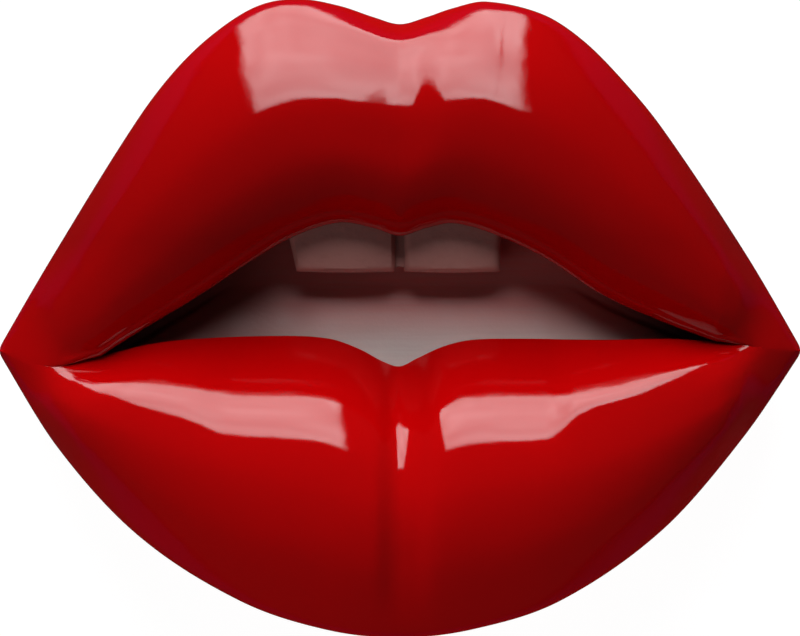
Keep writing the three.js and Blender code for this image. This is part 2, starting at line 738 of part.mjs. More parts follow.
function ringerDisc() {
  const low = floorTop + touchGap;
  return join(
    rod(ringer.radius, low, low + ringer.height - 1, ringer.x, ringer.y, 18),
    rod(ringer.radius - 3, low + 1, low + ringer.height, ringer.x, ringer.y, 18),
  );
}

// ---------------------------------------------------------------- hook, switches, jack

const collarBottom = floorTop + touchGap + hookTravel;
const collarTop = collarBottom + 1.5;

function hookPlunger() {
  const profile = [
    [0, 0], [plungerRadius - 0.8, 0], [plungerRadius, 0.8], [plungerRadius, collarBottom],
    [plungerCollar, collarBottom], [plungerCollar, collarTop], [2, collarTop], [2, springTop - 0.4],
    [0, springTop - 0.4],
  ];
  return new THREE.LatheGeometry(profile.map(([r, z]) => new THREE.Vector2(r, z)), 16)
    .rotateX(Math.PI / 2).translate(0, hookY, 0);
}

class Helix extends THREE.Curve {
  getPoint(t, target = new THREE.Vector3()) {
    const turn = 2 * Math.PI * springTurns * t;
    const low = collarTop + touchGap + springWire;
    const high = springTop - springWire;
    const radius = (2 + plungerCollar) / 2;
    const z = THREE.MathUtils.lerp(low, high, t);
    return target.set(radius * Math.cos(turn), hookY + radius * Math.sin(turn), z);
  }
}

function hookSpring() {
  return tube(new Helix(), springWire, springTurns * 12, 6);
}

function hookMicroswitch() {
  const low = springTop + touchGap;
  return join(
    block(-14, 14, hookY - 3.5, hookY + 3.5, low + 0.8, low + 7),
    block(-8, 8, hookY - 2.6, hookY + 2.6, low, low + 1.2),
  );
}

function switchKnob(x) {
  const halfY = knobWidth / 2;
  return join(
    block(x - knobLength / 2, x + knobLength / 2, switchY - halfY, switchY + halfY, 1.4, floorTop + 0.9),
    block(
      x - knobLength / 2 - 1, x + knobLength / 2 + 1, switchY - halfY - 1, switchY + halfY + 1,
      floorTop + 0.3, floorTop + 1.2,
    ),
  );
}

function switchHousing(x) {
  const low = floorTop + touchGap;
  const halfX = switchBody.x / 2;
  const halfY = switchBody.y / 2;
  const shell = block(x - halfX, x + halfX, switchY - halfY, switchY + halfY, low, low + switchBody.z);
  const track = block(
    x - halfX + 1, x + halfX - 1, switchY - halfY + 0.7, switchY + halfY - 0.7, low - 1, low + 1.3,
  );
  return cut(shell, track);
}

function lineJack() {
  const face = jackFaceY();
  const middle = jack.base + jack.z / 2;
  const halfX = jack.x / 2;
  const body = block(
    jack.centreX - halfX, jack.centreX + halfX, face - jack.y, face, jack.base, jack.base + jack.z,
  );
  const socket = block(
    jack.centreX - jackSocket.x / 2, jack.centreX + jackSocket.x / 2,
    face - jackSocket.y, face + 1, middle - jackSocket.z / 2 - 0.8, middle + jackSocket.z / 2 - 0.8,
  );
  const latchSlot = block(jack.centreX - 3, jack.centreX + 3, face - 9, face + 1, middle, middle + 4.6);
  return cut(body, socket, latchSlot);
}

// ---------------------------------------------------------------- fasteners, feet, leads, weight

function screw(threadRadius, headRadius, headHeight, length) {
  const head = cut(
    rod(headRadius, 0, headHeight, 0, 0, 12),
    block(-headRadius * 0.62, headRadius * 0.62, -0.35, 0.35, -1, headHeight * 0.5),
    block(-0.35, 0.35, -headRadius * 0.62, headRadius * 0.62, -1, headHeight * 0.5),
  );
  return join(head, rod(threadRadius, headHeight - 0.2, headHeight + length, 0, 0, 6, threadRadius * 0.85));
}

function foot() {
  const top = coverBase + footPocket - touchGap;
  const profile = [
    [0, 0], [footRadius - 1.2, 0], [footRadius - 0.3, 0.6], [footRadius, 1.6], [footRadius, top], [0, top],
  ];
  return new THREE.LatheGeometry(profile.map(([r, z]) => new THREE.Vector2(r, z)), 18).rotateX(Math.PI / 2);
}

function ballastPlate() {
  const shape = new THREE.Shape([
    new THREE.Vector2(-ballast.halfLow, ballast.lowY), new THREE.Vector2(ballast.halfLow, ballast.lowY),
    new THREE.Vector2(ballast.halfHigh, ballast.highY), new THREE.Vector2(-ballast.halfHigh, ballast.highY),
  ]);
  return plate(shape, floorTop + touchGap, floorTop + touchGap + ballast.thickness);
}

function lead(points) {
  return tube(points, leadRadius, 9);
}

// ---------------------------------------------------------------- the telephone

const finishes = {
  lipRed: { color: 0xb00812, roughness: 0.12, metalness: 0 },
  coverRed: { color: 0x96060f, roughness: 0.22, metalness: 0 },
  linerWhite: { color: 0xd8d2cc, roughness: 0.65, metalness: 0 },
  toothWhite: { color: 0xe9e2d8, roughness: 0.18, metalness: 0 },
  bezelBlack: { color: 0x1a1a1c, roughness: 0.5, metalness: 0 },
  keyWhite: { color: 0xe8e6e0, roughness: 0.4, metalness: 0 },
  keyRed: { color: 0xa80c14, roughness: 0.4, metalness: 0 },
  membraneGrey: { color: 0x8c8f90, roughness: 0.8, metalness: 0 },
  boardTan: { color: 0xb58a4a, roughness: 0.6, metalness: 0 },
  partBlack: { color: 0x202022, roughness: 0.45, metalness: 0 },
  rubberBlack: { color: 0x1c1c1c, roughness: 0.9, metalness: 0 },
  steel: { color: 0xa9adb0, roughness: 0.35, metalness: 1 },
  brass: { color: 0xc8a14e, roughness: 0.35, metalness: 1 },
  leadYellow: { color: 0xd0a030, roughness: 0.5, metalness: 0 },
  jackClear: { color: 0xb9bab4, roughness: 0.35, metalness: 0 },
};

const phone = new THREE.Group();

function add(name, shape, finish, place = [0, 0, 0]) {
  const geometry = shape instanceof THREE.BufferGeometry ? shape : toGeometry(shape);
  const mesh = new THREE.Mesh(geometry, new THREE.MeshStandardMaterial(finishes[finish]));
  mesh.name = name;
  mesh.position.set(...place);
  phone.add(mesh);
}

add('front_shell', frontShell(), 'lipRed');
add('mouth_liner', mouthLiner(), 'linerWhite');
add('front_teeth', frontTeeth(), 'toothWhite');
add('rear_cover', rearCover(), 'coverRed');
add('keypad_bezel', keypadBezel(), 'bezelBlack');
forEachKey((x, y, name) => {
  add(name, key(), /flash|mute|redial/.test(name) ? 'keyRed' : 'keyWhite', [x, y, 0]);
});
add('keypad_membrane', keypadMembrane(), 'membraneGrey');
add('main_circuit_board', circuitBoard(), 'boardTan');
add('dialler_chip', diallerChip(), 'partBlack');
add('speech_transformer', speechTransformer(), 'brass');
add('capacitor_1', capacitor(), 'partBlack', [-12, -32, 0]);
add('capacitor_2', capacitor(), 'partBlack', [2, -32, 0]);
add('receiver_capsule', receiverCapsule(), 'partBlack');
add('receiver_gasket', receiverGasket(), 'rubberBlack');
add('receiver_retainer', receiverRetainer(), 'keyWhite');
add('microphone_capsule', microphoneCapsule(), 'steel');
add('microphone_boot', microphoneBoot(), 'rubberBlack');
add('ringer_disc', ringerDisc(), 'partBlack');
add('hook_plunger', hookPlunger(), 'keyWhite');
add('hook_spring', hookSpring(), 'steel');
add('hook_microswitch', hookMicroswitch(), 'partBlack');
add('line_jack', lineJack(), 'jackClear');
switches.forEach(([name, x]) => {
  add(`${name}_knob`, switchKnob(x - switchTravel / 2), 'keyWhite');
  add(`${name}_housing`, switchHousing(x), 'steel');
});
add('ballast_plate', ballastPlate(), 'steel');
feet.forEach(([x, y], i) => add(`rubber_foot_${i + 1}`, foot(), 'rubberBlack', [x, y, 0]));

const caseHead = 2;
const caseHeadBottom = partingHeight - partingGap - columnWeb - touchGap - caseHead;
const caseLength = partingHeight + caseScrewDepth - caseHeadBottom - caseHead;
caseScrews.forEach(([x, y], i) => (
  add(`case_screw_${i + 1}`, screw(caseThread, 2.8, caseHead, caseLength), 'steel', [x, y, caseHeadBottom])
));
const smallHead = 1.6;
linerScrews.forEach(([x, y], i) => {
  const low = linerFront - linerThickness - touchGap - smallHead;
  add(`liner_screw_${i + 1}`, screw(smallThread, 2.2, smallHead, 8.5), 'steel', [x, y, low]);
});
boardScrews.forEach(([x, y], i) => {
  const driven = toSolid(screw(smallThread, 2.2, smallHead, boardThickness + 4)).rotate([180, 0, 0]);
  add(`board_screw_${i + 1}`, driven, 'steel', [x, y, boardTop + touchGap + smallHead]);
});

const aboveBoard = boardTop + touchGap + leadRadius;
add('receiver_lead', lead([
  [receiverX + 3, voiceY + 2, receiverTop + 2.2], [receiverX + 12, voiceY + 4, receiverTop + 3.2],
  [-boardHalfX - 2, 1, aboveBoard + 2], [-boardHalfX + 6, 3, aboveBoard],
]), 'leadYellow');
add('microphone_lead', lead([
  [microphoneX, voiceY, floorTop + 9.4], [microphoneX - 6, voiceY + 2, aboveBoard + 2.2],
  [boardHalfX + 2, -2, aboveBoard + 1.2], [boardHalfX - 6, 0, aboveBoard],
]), 'leadYellow');
add('ringer_lead', lead([
  [ringer.x + 6, ringer.y - 8.5, floorTop + ringer.height + 1.6], [ringer.x + 5, ringer.y - 14, floorTop + 9],
  [ringer.x + 4, boardHighY + 3, aboveBoard + 1], [ringer.x + 4, boardHighY - 6, aboveBoard],
]), 'leadYellow');
add('line_lead', lead([
  [jack.centreX + 3, jackFaceY() - jack.y - 1.4, jack.base + 5],
  [24, jackFaceY() - jack.y - 8, jack.base + 4],
  [26, boardHighY + 4, aboveBoard + 2], [26, boardHighY - 6, aboveBoard],
]), 'leadYellow');

export default phone;
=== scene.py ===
import math

import bmesh
import bpy
import numpy as np
from mathutils import Matrix, Vector


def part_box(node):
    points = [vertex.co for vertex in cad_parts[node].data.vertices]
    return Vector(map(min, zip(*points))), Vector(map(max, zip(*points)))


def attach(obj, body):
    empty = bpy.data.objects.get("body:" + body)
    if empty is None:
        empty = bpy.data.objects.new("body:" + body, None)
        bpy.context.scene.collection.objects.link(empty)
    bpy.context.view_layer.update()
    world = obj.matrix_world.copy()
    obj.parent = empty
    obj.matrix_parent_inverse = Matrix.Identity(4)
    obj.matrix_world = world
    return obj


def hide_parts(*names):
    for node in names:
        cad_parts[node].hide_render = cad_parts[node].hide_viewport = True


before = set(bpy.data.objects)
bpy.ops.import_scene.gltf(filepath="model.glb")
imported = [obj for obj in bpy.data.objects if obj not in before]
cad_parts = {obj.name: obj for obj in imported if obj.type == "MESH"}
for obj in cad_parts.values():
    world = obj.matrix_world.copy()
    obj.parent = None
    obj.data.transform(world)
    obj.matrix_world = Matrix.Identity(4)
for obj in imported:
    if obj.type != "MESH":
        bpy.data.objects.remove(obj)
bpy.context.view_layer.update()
mm = 0.001  # everything below is in mm until it becomes a mesh


def nodeBox(node):
    low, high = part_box(node)
    return np.array(low) / mm, np.array(high) / mm


def nodeCentre(node):
    low, high = nodeBox(node)
    return (low + high) / 2


shellLow, shellHigh = nodeBox("front_shell")
halfWidth = (shellHigh[0] - shellLow[0]) / 2
halfHeight = (shellHigh[1] - shellLow[1]) / 2
partingHeight = 30  # where the lips meet the rear cover


# ---- camera, straight down on the lips as they lie on their feet

cameraSet = dict(lens=180, sensor=36, width=216, focusHeight=30)


def makeCamera():
    data = bpy.data.cameras.new("camera")
    data.lens = cameraSet["lens"]
    data.sensor_width = cameraSet["sensor"]
    camera = bpy.data.objects.new("camera", data)
    bpy.context.scene.collection.objects.link(camera)
    reach = cameraSet["width"] * cameraSet["lens"] / cameraSet["sensor"]
    camera.location = (0, 0, (cameraSet["focusHeight"] + reach) * mm)
    bpy.context.scene.camera = camera


makeCamera()
print("camera set")


# ---- shader node groups shared by the finishes

def newGroup(name, inputs, outputs):
    group = bpy.data.node_groups.new(name, "ShaderNodeTree")
    for label, kind, value in inputs:
        socket = group.interface.new_socket(label, in_out="INPUT", socket_type=kind)
        socket.default_value = value
    for label, kind in outputs:
        group.interface.new_socket(label, in_out="OUTPUT", socket_type=kind)
    start = group.nodes.new("NodeGroupInput")
    end = group.nodes.new("NodeGroupOutput")
    return group, start, end


def objectPlace(tree):  # a point's place on the piece, in metres
    return tree.nodes.new("ShaderNodeTexCoord").outputs["Object"]


def noiseAt(tree, place, scale, detail=3.0, rough=0.55, stretch=None):
    noise = tree.nodes.new("ShaderNodeTexNoise")
    noise.inputs["Detail"].default_value = detail
    noise.inputs["Roughness"].default_value = rough
    if hasattr(scale, "is_linked"):
        tree.links.new(scale, noise.inputs["Scale"])
    else:
        noise.inputs["Scale"].default_value = scale
    if stretch:
        mapping = tree.nodes.new("ShaderNodeMapping")
        mapping.inputs["Scale"].default_value = stretch
        tree.links.new(place, mapping.inputs["Vector"])
        place = mapping.outputs["Vector"]
    tree.links.new(place, noise.inputs["Vector"])
    return noise.outputs["Fac"]


def ramped(tree, value, low, high, toLow=0.0, toHigh=1.0):
    ramp = tree.nodes.new("ShaderNodeMapRange")
    ramp.interpolation_type = "SMOOTHSTEP"
    ramp.inputs["From Min"].default_value = low
    ramp.inputs["From Max"].default_value = high
    ramp.inputs["To Min"].default_value = toLow
    ramp.inputs["To Max"].default_value = toHigh
    tree.links.new(value, ramp.inputs["Value"])
    return ramp.outputs["Result"]


def mathOf(tree, operation, a, b=None):
    node = tree.nodes.new("ShaderNodeMath")
    node.operation = operation
    for socket, value in ((node.inputs[0], a), (node.inputs[1], b)):
        if hasattr(value, "is_linked"):
            tree.links.new(value, socket)
        elif value is not None:
            socket.default_value = value
    return node.outputs[0]


def mixColours(tree, mask, first, second):
    mix = tree.nodes.new("ShaderNodeMix")
    mix.data_type = "RGBA"
    for socket, value in ((mix.inputs["Factor"], mask), (mix.inputs[6], first), (mix.inputs[7], second)):
        if hasattr(value, "is_linked"):
            tree.links.new(value, socket)
        else:
            socket.default_value = value
    return mix.outputs[2]


def buildMottle():  # slow colour drift in moulded or sprayed surfaces
    group, start, end = newGroup("mottle", [
        ("Scale", "NodeSocketFloat", 60.0), ("Spread", "NodeSocketFloat", 0.2)],
        [("Mask", "NodeSocketFloat")])
    noise = noiseAt(group, objectPlace(group), start.outputs["Scale"], 4.0)
    centred = mathOf(group, "SUBTRACT", noise, 0.5)
    spread = mathOf(group, "MULTIPLY", centred, start.outputs["Spread"])
    group.links.new(mathOf(group, "ADD", spread, 0.5), end.inputs["Mask"])
    return group


def buildGrain():  # fine spark-eroded texture of a mould
    group, start, end = newGroup("grain", [
        ("Scale", "NodeSocketFloat", 2500.0)], [("Height", "NodeSocketFloat")])
    place = objectPlace(group)
    fine = noiseAt(group, place, start.outputs["Scale"], 2.0, 0.6)
    cell = group.nodes.new("ShaderNodeTexVoronoi")
    group.links.new(start.outputs["Scale"], cell.inputs["Scale"])
    group.links.new(place, cell.inputs["Vector"])
    pits = mathOf(group, "MULTIPLY", cell.outputs["Distance"], 0.4)
    group.links.new(mathOf(group, "ADD", fine, pits), end.inputs["Height"])
    return group


def buildEdgeRub():  # convex edges polished or paled by handling
    group, start, end = newGroup("edgeRub", [
        ("Amount", "NodeSocketFloat", 0.5), ("Scale", "NodeSocketFloat", 300.0)],
        [("Mask", "NodeSocketFloat")])
    point = group.nodes.new("ShaderNodeNewGeometry").outputs["Pointiness"]
    edge = ramped(group, point, 0.52, 0.62)
    patch = ramped(group, noiseAt(group, objectPlace(group), start.outputs["Scale"], 5.0, 0.65), 0.42, 0.62)
    group.links.new(mathOf(group, "MULTIPLY", mathOf(group, "MULTIPLY", edge, patch), start.outputs["Amount"]),
                    end.inputs["Mask"])
    return group


def buildDust():  # specks that settle on faces that look up
    group, start, end = newGroup("dust", [
        ("Amount", "NodeSocketFloat", 0.2), ("Scale", "NodeSocketFloat", 1400.0)],
        [("Mask", "NodeSocketFloat")])
    place = objectPlace(group)
    split = group.nodes.new("ShaderNodeSeparateXYZ")
    group.links.new(group.nodes.new("ShaderNodeNewGeometry").outputs["Normal"], split.inputs["Vector"])
    up = ramped(group, split.outputs["Z"], 0.2, 0.9)
    speck = ramped(group, noiseAt(group, place, start.outputs["Scale"], 2.0, 0.7), 0.68, 0.78)
    field = ramped(group, noiseAt(group, place, 35.0, 3.0), 0.35, 0.7)
    both = mathOf(group, "MULTIPLY", mathOf(group, "MULTIPLY", speck, field), up)
    group.links.new(mathOf(group, "MULTIPLY", both, start.outputs["Amount"]), end.inputs["Mask"])
    return group


def buildScuffs():  # hairline scratches in two directions
    group, start, end = newGroup("scuffs", [
        ("Amount", "NodeSocketFloat", 0.3), ("Scale", "NodeSocketFloat", 120.0)],
        [("Mask", "NodeSocketFloat"), ("Height", "NodeSocketFloat")])
    place = objectPlace(group)
    lines = []
    for stretch in ((1.0, 24.0, 1.0), (18.0, 1.0, 3.0)):
        thread = noiseAt(group, place, start.outputs["Scale"], 6.0, 0.6, stretch)
        lines.append(ramped(group, thread, 0.66, 0.72))
    both = mathOf(group, "MAXIMUM", lines[0], lines[1])
    mask = mathOf(group, "MULTIPLY", both, start.outputs["Amount"])
    group.links.new(mask, end.inputs["Mask"])
    group.links.new(mathOf(group, "MULTIPLY", mask, -1.0), end.inputs["Height"])
    return group


groups = dict(mottle=buildMottle(), grain=buildGrain(), edgeRub=buildEdgeRub(), dust=buildDust(),
              scuffs=buildScuffs())


def placeGroup(tree, name, **values):
    node = tree.nodes.new("ShaderNodeGroup")
    node.node_tree = groups[name]
    for label, value in values.items():
        node.inputs[label].default_value = value
    return node


# ---- finishes

finishBase = dict(
    colour=(0.5, 0.5, 0.5), second=None, mottleScale=60.0, mottleSpread=0.8,
    roughness=0.4, roughSpread=0.12, metallic=0.0, specular=0.5,
    grainScale=2500.0, grainHeight=0.00002, edgeColour=None, edgeAmount=0.0,
    dustColour=(0.55, 0.52, 0.49), dustAmount=0.15, scuffAmount=0.2, scuffScale=120.0)


def startMaterial(name):
    material = bpy.data.materials.new(name)
    material.use_nodes = True
    tree = material.node_tree
    return material, tree, tree.nodes["Principled BSDF"]


def makeFinish(name, extraColour=None, extraHeight=None, **changes):
    look = {**finishBase, **changes}
    material, tree, shader = startMaterial(name)
    solid = lambda colour: (*colour, 1.0)
    second = look["second"] or tuple(channel * 0.82 for channel in look["colour"])
    mottle = placeGroup(tree, "mottle", Scale=look["mottleScale"], Spread=look["mottleSpread"])
    colour = mixColours(tree, mottle.outputs["Mask"], solid(look["colour"]), solid(second))
    if extraColour:
        colour = extraColour(tree, colour)
    if look["edgeColour"]:
        rub = placeGroup(tree, "edgeRub", Amount=look["edgeAmount"])
        colour = mixColours(tree, rub.outputs["Mask"], colour, solid(look["edgeColour"]))
    scuffs = placeGroup(tree, "scuffs", Amount=look["scuffAmount"], Scale=look["scuffScale"])
    dust = placeGroup(tree, "dust", Amount=look["dustAmount"])
    colour = mixColours(tree, dust.outputs["Mask"], colour, solid(look["dustColour"]))
    tree.links.new(colour, shader.inputs["Base Color"])
    low, high = look["roughness"] - look["roughSpread"] / 2, look["roughness"] + look["roughSpread"] / 2
    blotches = noiseAt(tree, objectPlace(tree), look["mottleScale"] * 2.3, 5.0)
    rough = ramped(tree, blotches, 0.3, 0.7, low, high)
    worn = mathOf(tree, "ADD", rough, mathOf(tree, "MULTIPLY", scuffs.outputs["Mask"], 0.25))
    tree.links.new(mathOf(tree, "ADD", worn, mathOf(tree, "MULTIPLY", dust.outputs["Mask"], 0.4)),
                   shader.inputs["Roughness"])
    shader.inputs["Metallic"].default_value = look["metallic"]
    shader.inputs["Specular IOR Level"].default_value = look["specular"]
    height = mathOf(tree, "ADD", placeGroup(tree, "grain", Scale=look["grainScale"]).outputs["Height"],
                    scuffs.outputs["Height"])
    if extraHeight:
        height = mathOf(tree, "ADD", height, extraHeight(tree))
    bump = tree.nodes.new("ShaderNodeBump")
    bump.inputs["Strength"].default_value = 1.0
    bump.inputs["Distance"].default_value = look["grainHeight"]
    tree.links.new(height, bump.inputs["Height"])
    tree.links.new(bump.outputs["Normal"], shader.inputs["Normal"])
    return material


def axisOf(tree, axis):
    split = tree.nodes.new("ShaderNodeSeparateXYZ")
    tree.links.new(objectPlace(tree), split.inputs["Vector"])
    return split.outputs[axis]


def mouthPaintedShade(tree, colour):  # painted shade and painted red bounce light: the white back is painted brown towards the top of the mouth, under the upper lip
    high = ramped(tree, axisOf(tree, "Y"), -0.010, 0.007)
    paintedShadeBrown = mixColours(tree, high, colour, (0.56, 0.15, 0.14, 1.0))
    streak = noiseAt(tree, objectPlace(tree), 160.0, 3.0, 0.5, (0.35, 7.0, 1.0))
    streaked = mixColours(tree, ramped(tree, streak, 0.3, 0.75, 0.0, 0.22), paintedShadeBrown, (0.42, 0.26, 0.25, 1.0))
    # painted shade: darker towards the left corner of the mouth, and darker still at the right corner
    left = ramped(tree, axisOf(tree, "X"), -0.052, -0.010, 1.0, 0.0)
    shaded = mixColours(tree, left, streaked, (0.17, 0.040, 0.034, 1.0))
    return mixColours(tree, ramped(tree, axisOf(tree, "X"), 0.045, 0.085), shaded, (0.09, 0.026, 0.024, 1.0))


def toothPaintedRedLight(tree, colour):  # painted red light from the lips: the teeth are painted pinker towards the top, under the upper lip
    high = ramped(tree, axisOf(tree, "Y"), 0.013, 0.026)
    paintedRedLight = mixColours(tree, high, colour, (0.36, 0.185, 0.165, 1.0))
    stain = noiseAt(tree, objectPlace(tree), 260.0, 5.0, 0.6, (1.0, 2.2, 1.0))
    return mixColours(tree, ramped(tree, stain, 0.5, 0.72, 0.0, 0.35), paintedRedLight, (0.30, 0.13, 0.115, 1.0))


def boardTracks(tree, colour):  # copper tracks and bare pads under a green lacquer
    brick = tree.nodes.new("ShaderNodeTexBrick")
    brick.inputs["Scale"].default_value = 90.0
    brick.inputs["Mortar Size"].default_value = 0.06
    brick.inputs["Color1"].default_value = (0, 0, 0, 1)
    brick.inputs["Color2"].default_value = (0, 0, 0, 1)
    brick.inputs["Mortar"].default_value = (1, 1, 1, 1)
    tree.links.new(objectPlace(tree), brick.inputs["Vector"])
    return mixColours(tree, brick.outputs["Color"], colour, (0.12, 0.22, 0.045, 1.0))


def windings(tree, colour):  # enamelled wire round a core
    wave = tree.nodes.new("ShaderNodeTexWave")
    wave.bands_direction = "Z"
    wave.inputs["Scale"].default_value = 420.0
    tree.links.new(objectPlace(tree), wave.inputs["Vector"])
    return mixColours(tree, wave.outputs["Fac"], colour, (0.16, 0.055, 0.02, 1.0))


# the darkest colour the painted shade on the lips runs towards
paintedShadeColour = (0.02, 0.0002, 0.0003)
paintedBandReach = 1 / 5.8  # metres from the chin to the nose, over which the painted light and shade bands are spread


def makeLipFinish(name, colour, second, roughness, ripple, paintedLightTones=None):
    material, tree, shader = startMaterial(name)
    mottle = placeGroup(tree, "mottle", Scale=22.0, Spread=0.9)
    if paintedLightTones:  # painted light and shade: the red is painted lighter over the lower lip and darker over the upper lip, darkest on its underside by the mouth, in bands from chin to nose
        paintedLightBands = tree.nodes.new("ShaderNodeValToRGB")
        along = mathOf(tree, "MULTIPLY", axisOf(tree, "Y"), 1 / paintedBandReach)
        tree.links.new(mathOf(tree, "ADD", along, 0.5), paintedLightBands.inputs["Fac"])
        while len(paintedLightBands.color_ramp.elements) < len(paintedLightTones):
            paintedLightBands.color_ramp.elements.new(0.5)
        for element, (place, tone) in zip(paintedLightBands.color_ramp.elements, paintedLightTones):
            element.position, element.color = place, (tone, tone, tone, 1.0)
        colour = mixColours(tree, paintedLightBands.outputs["Color"], (*paintedShadeColour, 1.0), (*colour, 1.0))
        second = mixColours(tree, paintedLightBands.outputs["Color"], (*paintedShadeColour, 1.0), (*second, 1.0))
    else:
        colour, second = (*colour, 1.0), (*second, 1.0)
    base = mixColours(tree, mottle.outputs["Mask"], colour, second)
    dust = placeGroup(tree, "dust", Amount=0.10, Scale=1900.0)
    dusted = mixColours(tree, dust.outputs["Mask"], base, (0.5, 0.06, 0.06, 1.0))
    tree.links.new(dusted, shader.inputs["Base Color"])
    scuffs = placeGroup(tree, "scuffs", Amount=0.5, Scale=70.0)
    haze = ramped(tree, noiseAt(tree, objectPlace(tree), 45.0, 5.0), 0.35, 0.75, roughness, roughness + 0.014)
    rough = mathOf(tree, "ADD", haze, mathOf(tree, "MULTIPLY", scuffs.outputs["Mask"], 0.06))
    tree.links.new(mathOf(tree, "ADD", rough, mathOf(tree, "MULTIPLY", dust.outputs["Mask"], 0.5)),
                   shader.inputs["Roughness"])
    shader.inputs["Specular IOR Level"].default_value = 0.5
    slow = mathOf(tree, "MULTIPLY", noiseAt(tree, objectPlace(tree), 95.0, 2.0, 0.4), 1.0)
    fine = mathOf(tree, "MULTIPLY", noiseAt(tree, objectPlace(tree), 520.0, 5.0, 0.75), 0.16)
    crisp = mathOf(tree, "MULTIPLY", noiseAt(tree, objectPlace(tree), 1500.0, 2.0), 0.04)
    height = mathOf(tree, "ADD", mathOf(tree, "ADD", slow, mathOf(tree, "ADD", fine, crisp)),
                    mathOf(tree, "MULTIPLY", scuffs.outputs["Height"], 0.02))
    bump = tree.nodes.new("ShaderNodeBump")
    bump.inputs["Strength"].default_value = 1.0
    bump.inputs["Distance"].default_value = ripple
    tree.links.new(height, bump.inputs["Height"])
    tree.links.new(bump.outputs["Normal"], shader.inputs["Normal"])
    return material


finishes = dict(
    # the tones below are painted light and shade: lighter on the lower lip, darker on the upper lip
    lipGloss=makeLipFinish("lipGloss", (0.70, 0.0007, 0.0014), (0.62, 0.0006, 0.0016), 0.012, 0.00012,
                           paintedLightTones=[(0.0, 0.88), (0.18, 0.93), (0.38, 0.75), (0.47, 0.62), (0.62, 0.42),
                                  (0.78, 0.52), (0.9, 0.62), (1.0, 0.64)]),
    coverGloss=makeLipFinish("coverGloss", (0.33, 0.0010, 0.0020), (0.29, 0.0008, 0.0020), 0.09, 0.00010),
    # the liner is white: the pink in its base colour is painted red light bounced from the lips
    linerWhite=makeFinish("linerWhite", extraColour=mouthPaintedShade, colour=(0.50, 0.42, 0.40), roughness=0.5,
                          grainScale=900.0, grainHeight=0.00004, dustAmount=0.25),
    # the teeth are white: their pinkish red base colour is painted red light reflected from the lips
    toothGloss=makeFinish("toothGloss", extraColour=toothPaintedRedLight, colour=(0.40, 0.175, 0.155), roughness=0.14,
                          roughSpread=0.06, grainScale=420.0, grainHeight=0.0002, dustAmount=0.0,
                          scuffAmount=0.1),
    bezelBlack=makeFinish("bezelBlack", colour=(0.018, 0.018, 0.020), second=(0.011, 0.011, 0.012),
                          roughness=0.48, grainScale=3200.0, grainHeight=0.00006,
                          edgeColour=(0.06, 0.06, 0.065), edgeAmount=0.6),
    keyWhite=makeFinish("keyWhite", colour=(0.74, 0.72, 0.66), second=(0.68, 0.65, 0.58), roughness=0.36,
                        grainHeight=0.00002, edgeColour=(0.80, 0.79, 0.75), edgeAmount=0.7, dustAmount=0.1),
    keyRed=makeFinish("keyRed", colour=(0.36, 0.010, 0.014), second=(0.30, 0.007, 0.010), roughness=0.34,
                      edgeColour=(0.48, 0.06, 0.06), edgeAmount=0.6),
    inkDark=makeFinish("inkDark", colour=(0.02, 0.02, 0.022), roughness=0.55, dustAmount=0.0),
    inkPale=makeFinish("inkPale", colour=(0.80, 0.78, 0.74), roughness=0.5, dustAmount=0.0),
    membraneRubber=makeFinish("membraneRubber", colour=(0.20, 0.21, 0.215), roughness=0.72,
                              grainHeight=0.00004),
    board=makeFinish("board", extraColour=boardTracks, colour=(0.035, 0.12, 0.03), roughness=0.32),
    partBlack=makeFinish("partBlack", colour=(0.022, 0.022, 0.024), roughness=0.42,
                         edgeColour=(0.07, 0.07, 0.07), edgeAmount=0.5),
    transformer=makeFinish("transformer", extraColour=windings, colour=(0.30, 0.13, 0.045), roughness=0.4),
    foam=makeFinish("foam", colour=(0.045, 0.045, 0.048), roughness=0.95, grainScale=1500.0,
                    grainHeight=0.0003),
    footRubber=makeFinish("footRubber", colour=(0.020, 0.020, 0.020), second=(0.034, 0.033, 0.032),
                          roughness=0.78, grainScale=1800.0, grainHeight=0.00012,
                          edgeColour=(0.09, 0.085, 0.08), edgeAmount=0.5),
    brightSteel=makeFinish("brightSteel", colour=(0.52, 0.53, 0.54), second=(0.42, 0.42, 0.43), roughness=0.30,
                           metallic=1.0, scuffAmount=0.5, dustAmount=0.1),
    goldPlate=makeFinish("goldPlate", colour=(0.80, 0.55, 0.20), roughness=0.2, metallic=1.0, dustAmount=0.0),
    jackPlastic=makeFinish("jackPlastic", colour=(0.46, 0.47, 0.44), roughness=0.3, grainHeight=0.00003),
    leadPlastic=makeFinish("leadPlastic", colour=(0.58, 0.36, 0.06), roughness=0.42))
print("finishes made")


# ---- curves and meshes

def curveThrough(points):
    xs = np.array([p[0] for p in points], float)
    ys = np.array([p[1] for p in points], float)
    before = np.maximum(np.arange(len(xs)) - 1, 0)
    after = np.minimum(np.arange(len(xs)) + 1, len(xs) - 1)
    slopes = (ys[after] - ys[before]) / (xs[after] - xs[before])

    def at(x):
        inside = np.clip(np.asarray(x, float), xs[0], xs[-1])
        i = np.clip(np.searchsorted(xs, inside, side="right") - 1, 0, len(xs) - 2)
        span = xs[i + 1] - xs[i]
        t = (inside - xs[i]) / span
        return ((1 + 2 * t) * (1 - t) ** 2 * ys[i] + t * (1 - t) ** 2 * span * slopes[i]
                + t * t * (3 - 2 * t) * ys[i + 1] + t * t * (t - 1) * span * slopes[i + 1])

    return at


def smoothStep(low, high, x):
    t = np.clip((np.asarray(x, float) - low) / (high - low), 0, 1)
    return t * t * (3 - 2 * t)


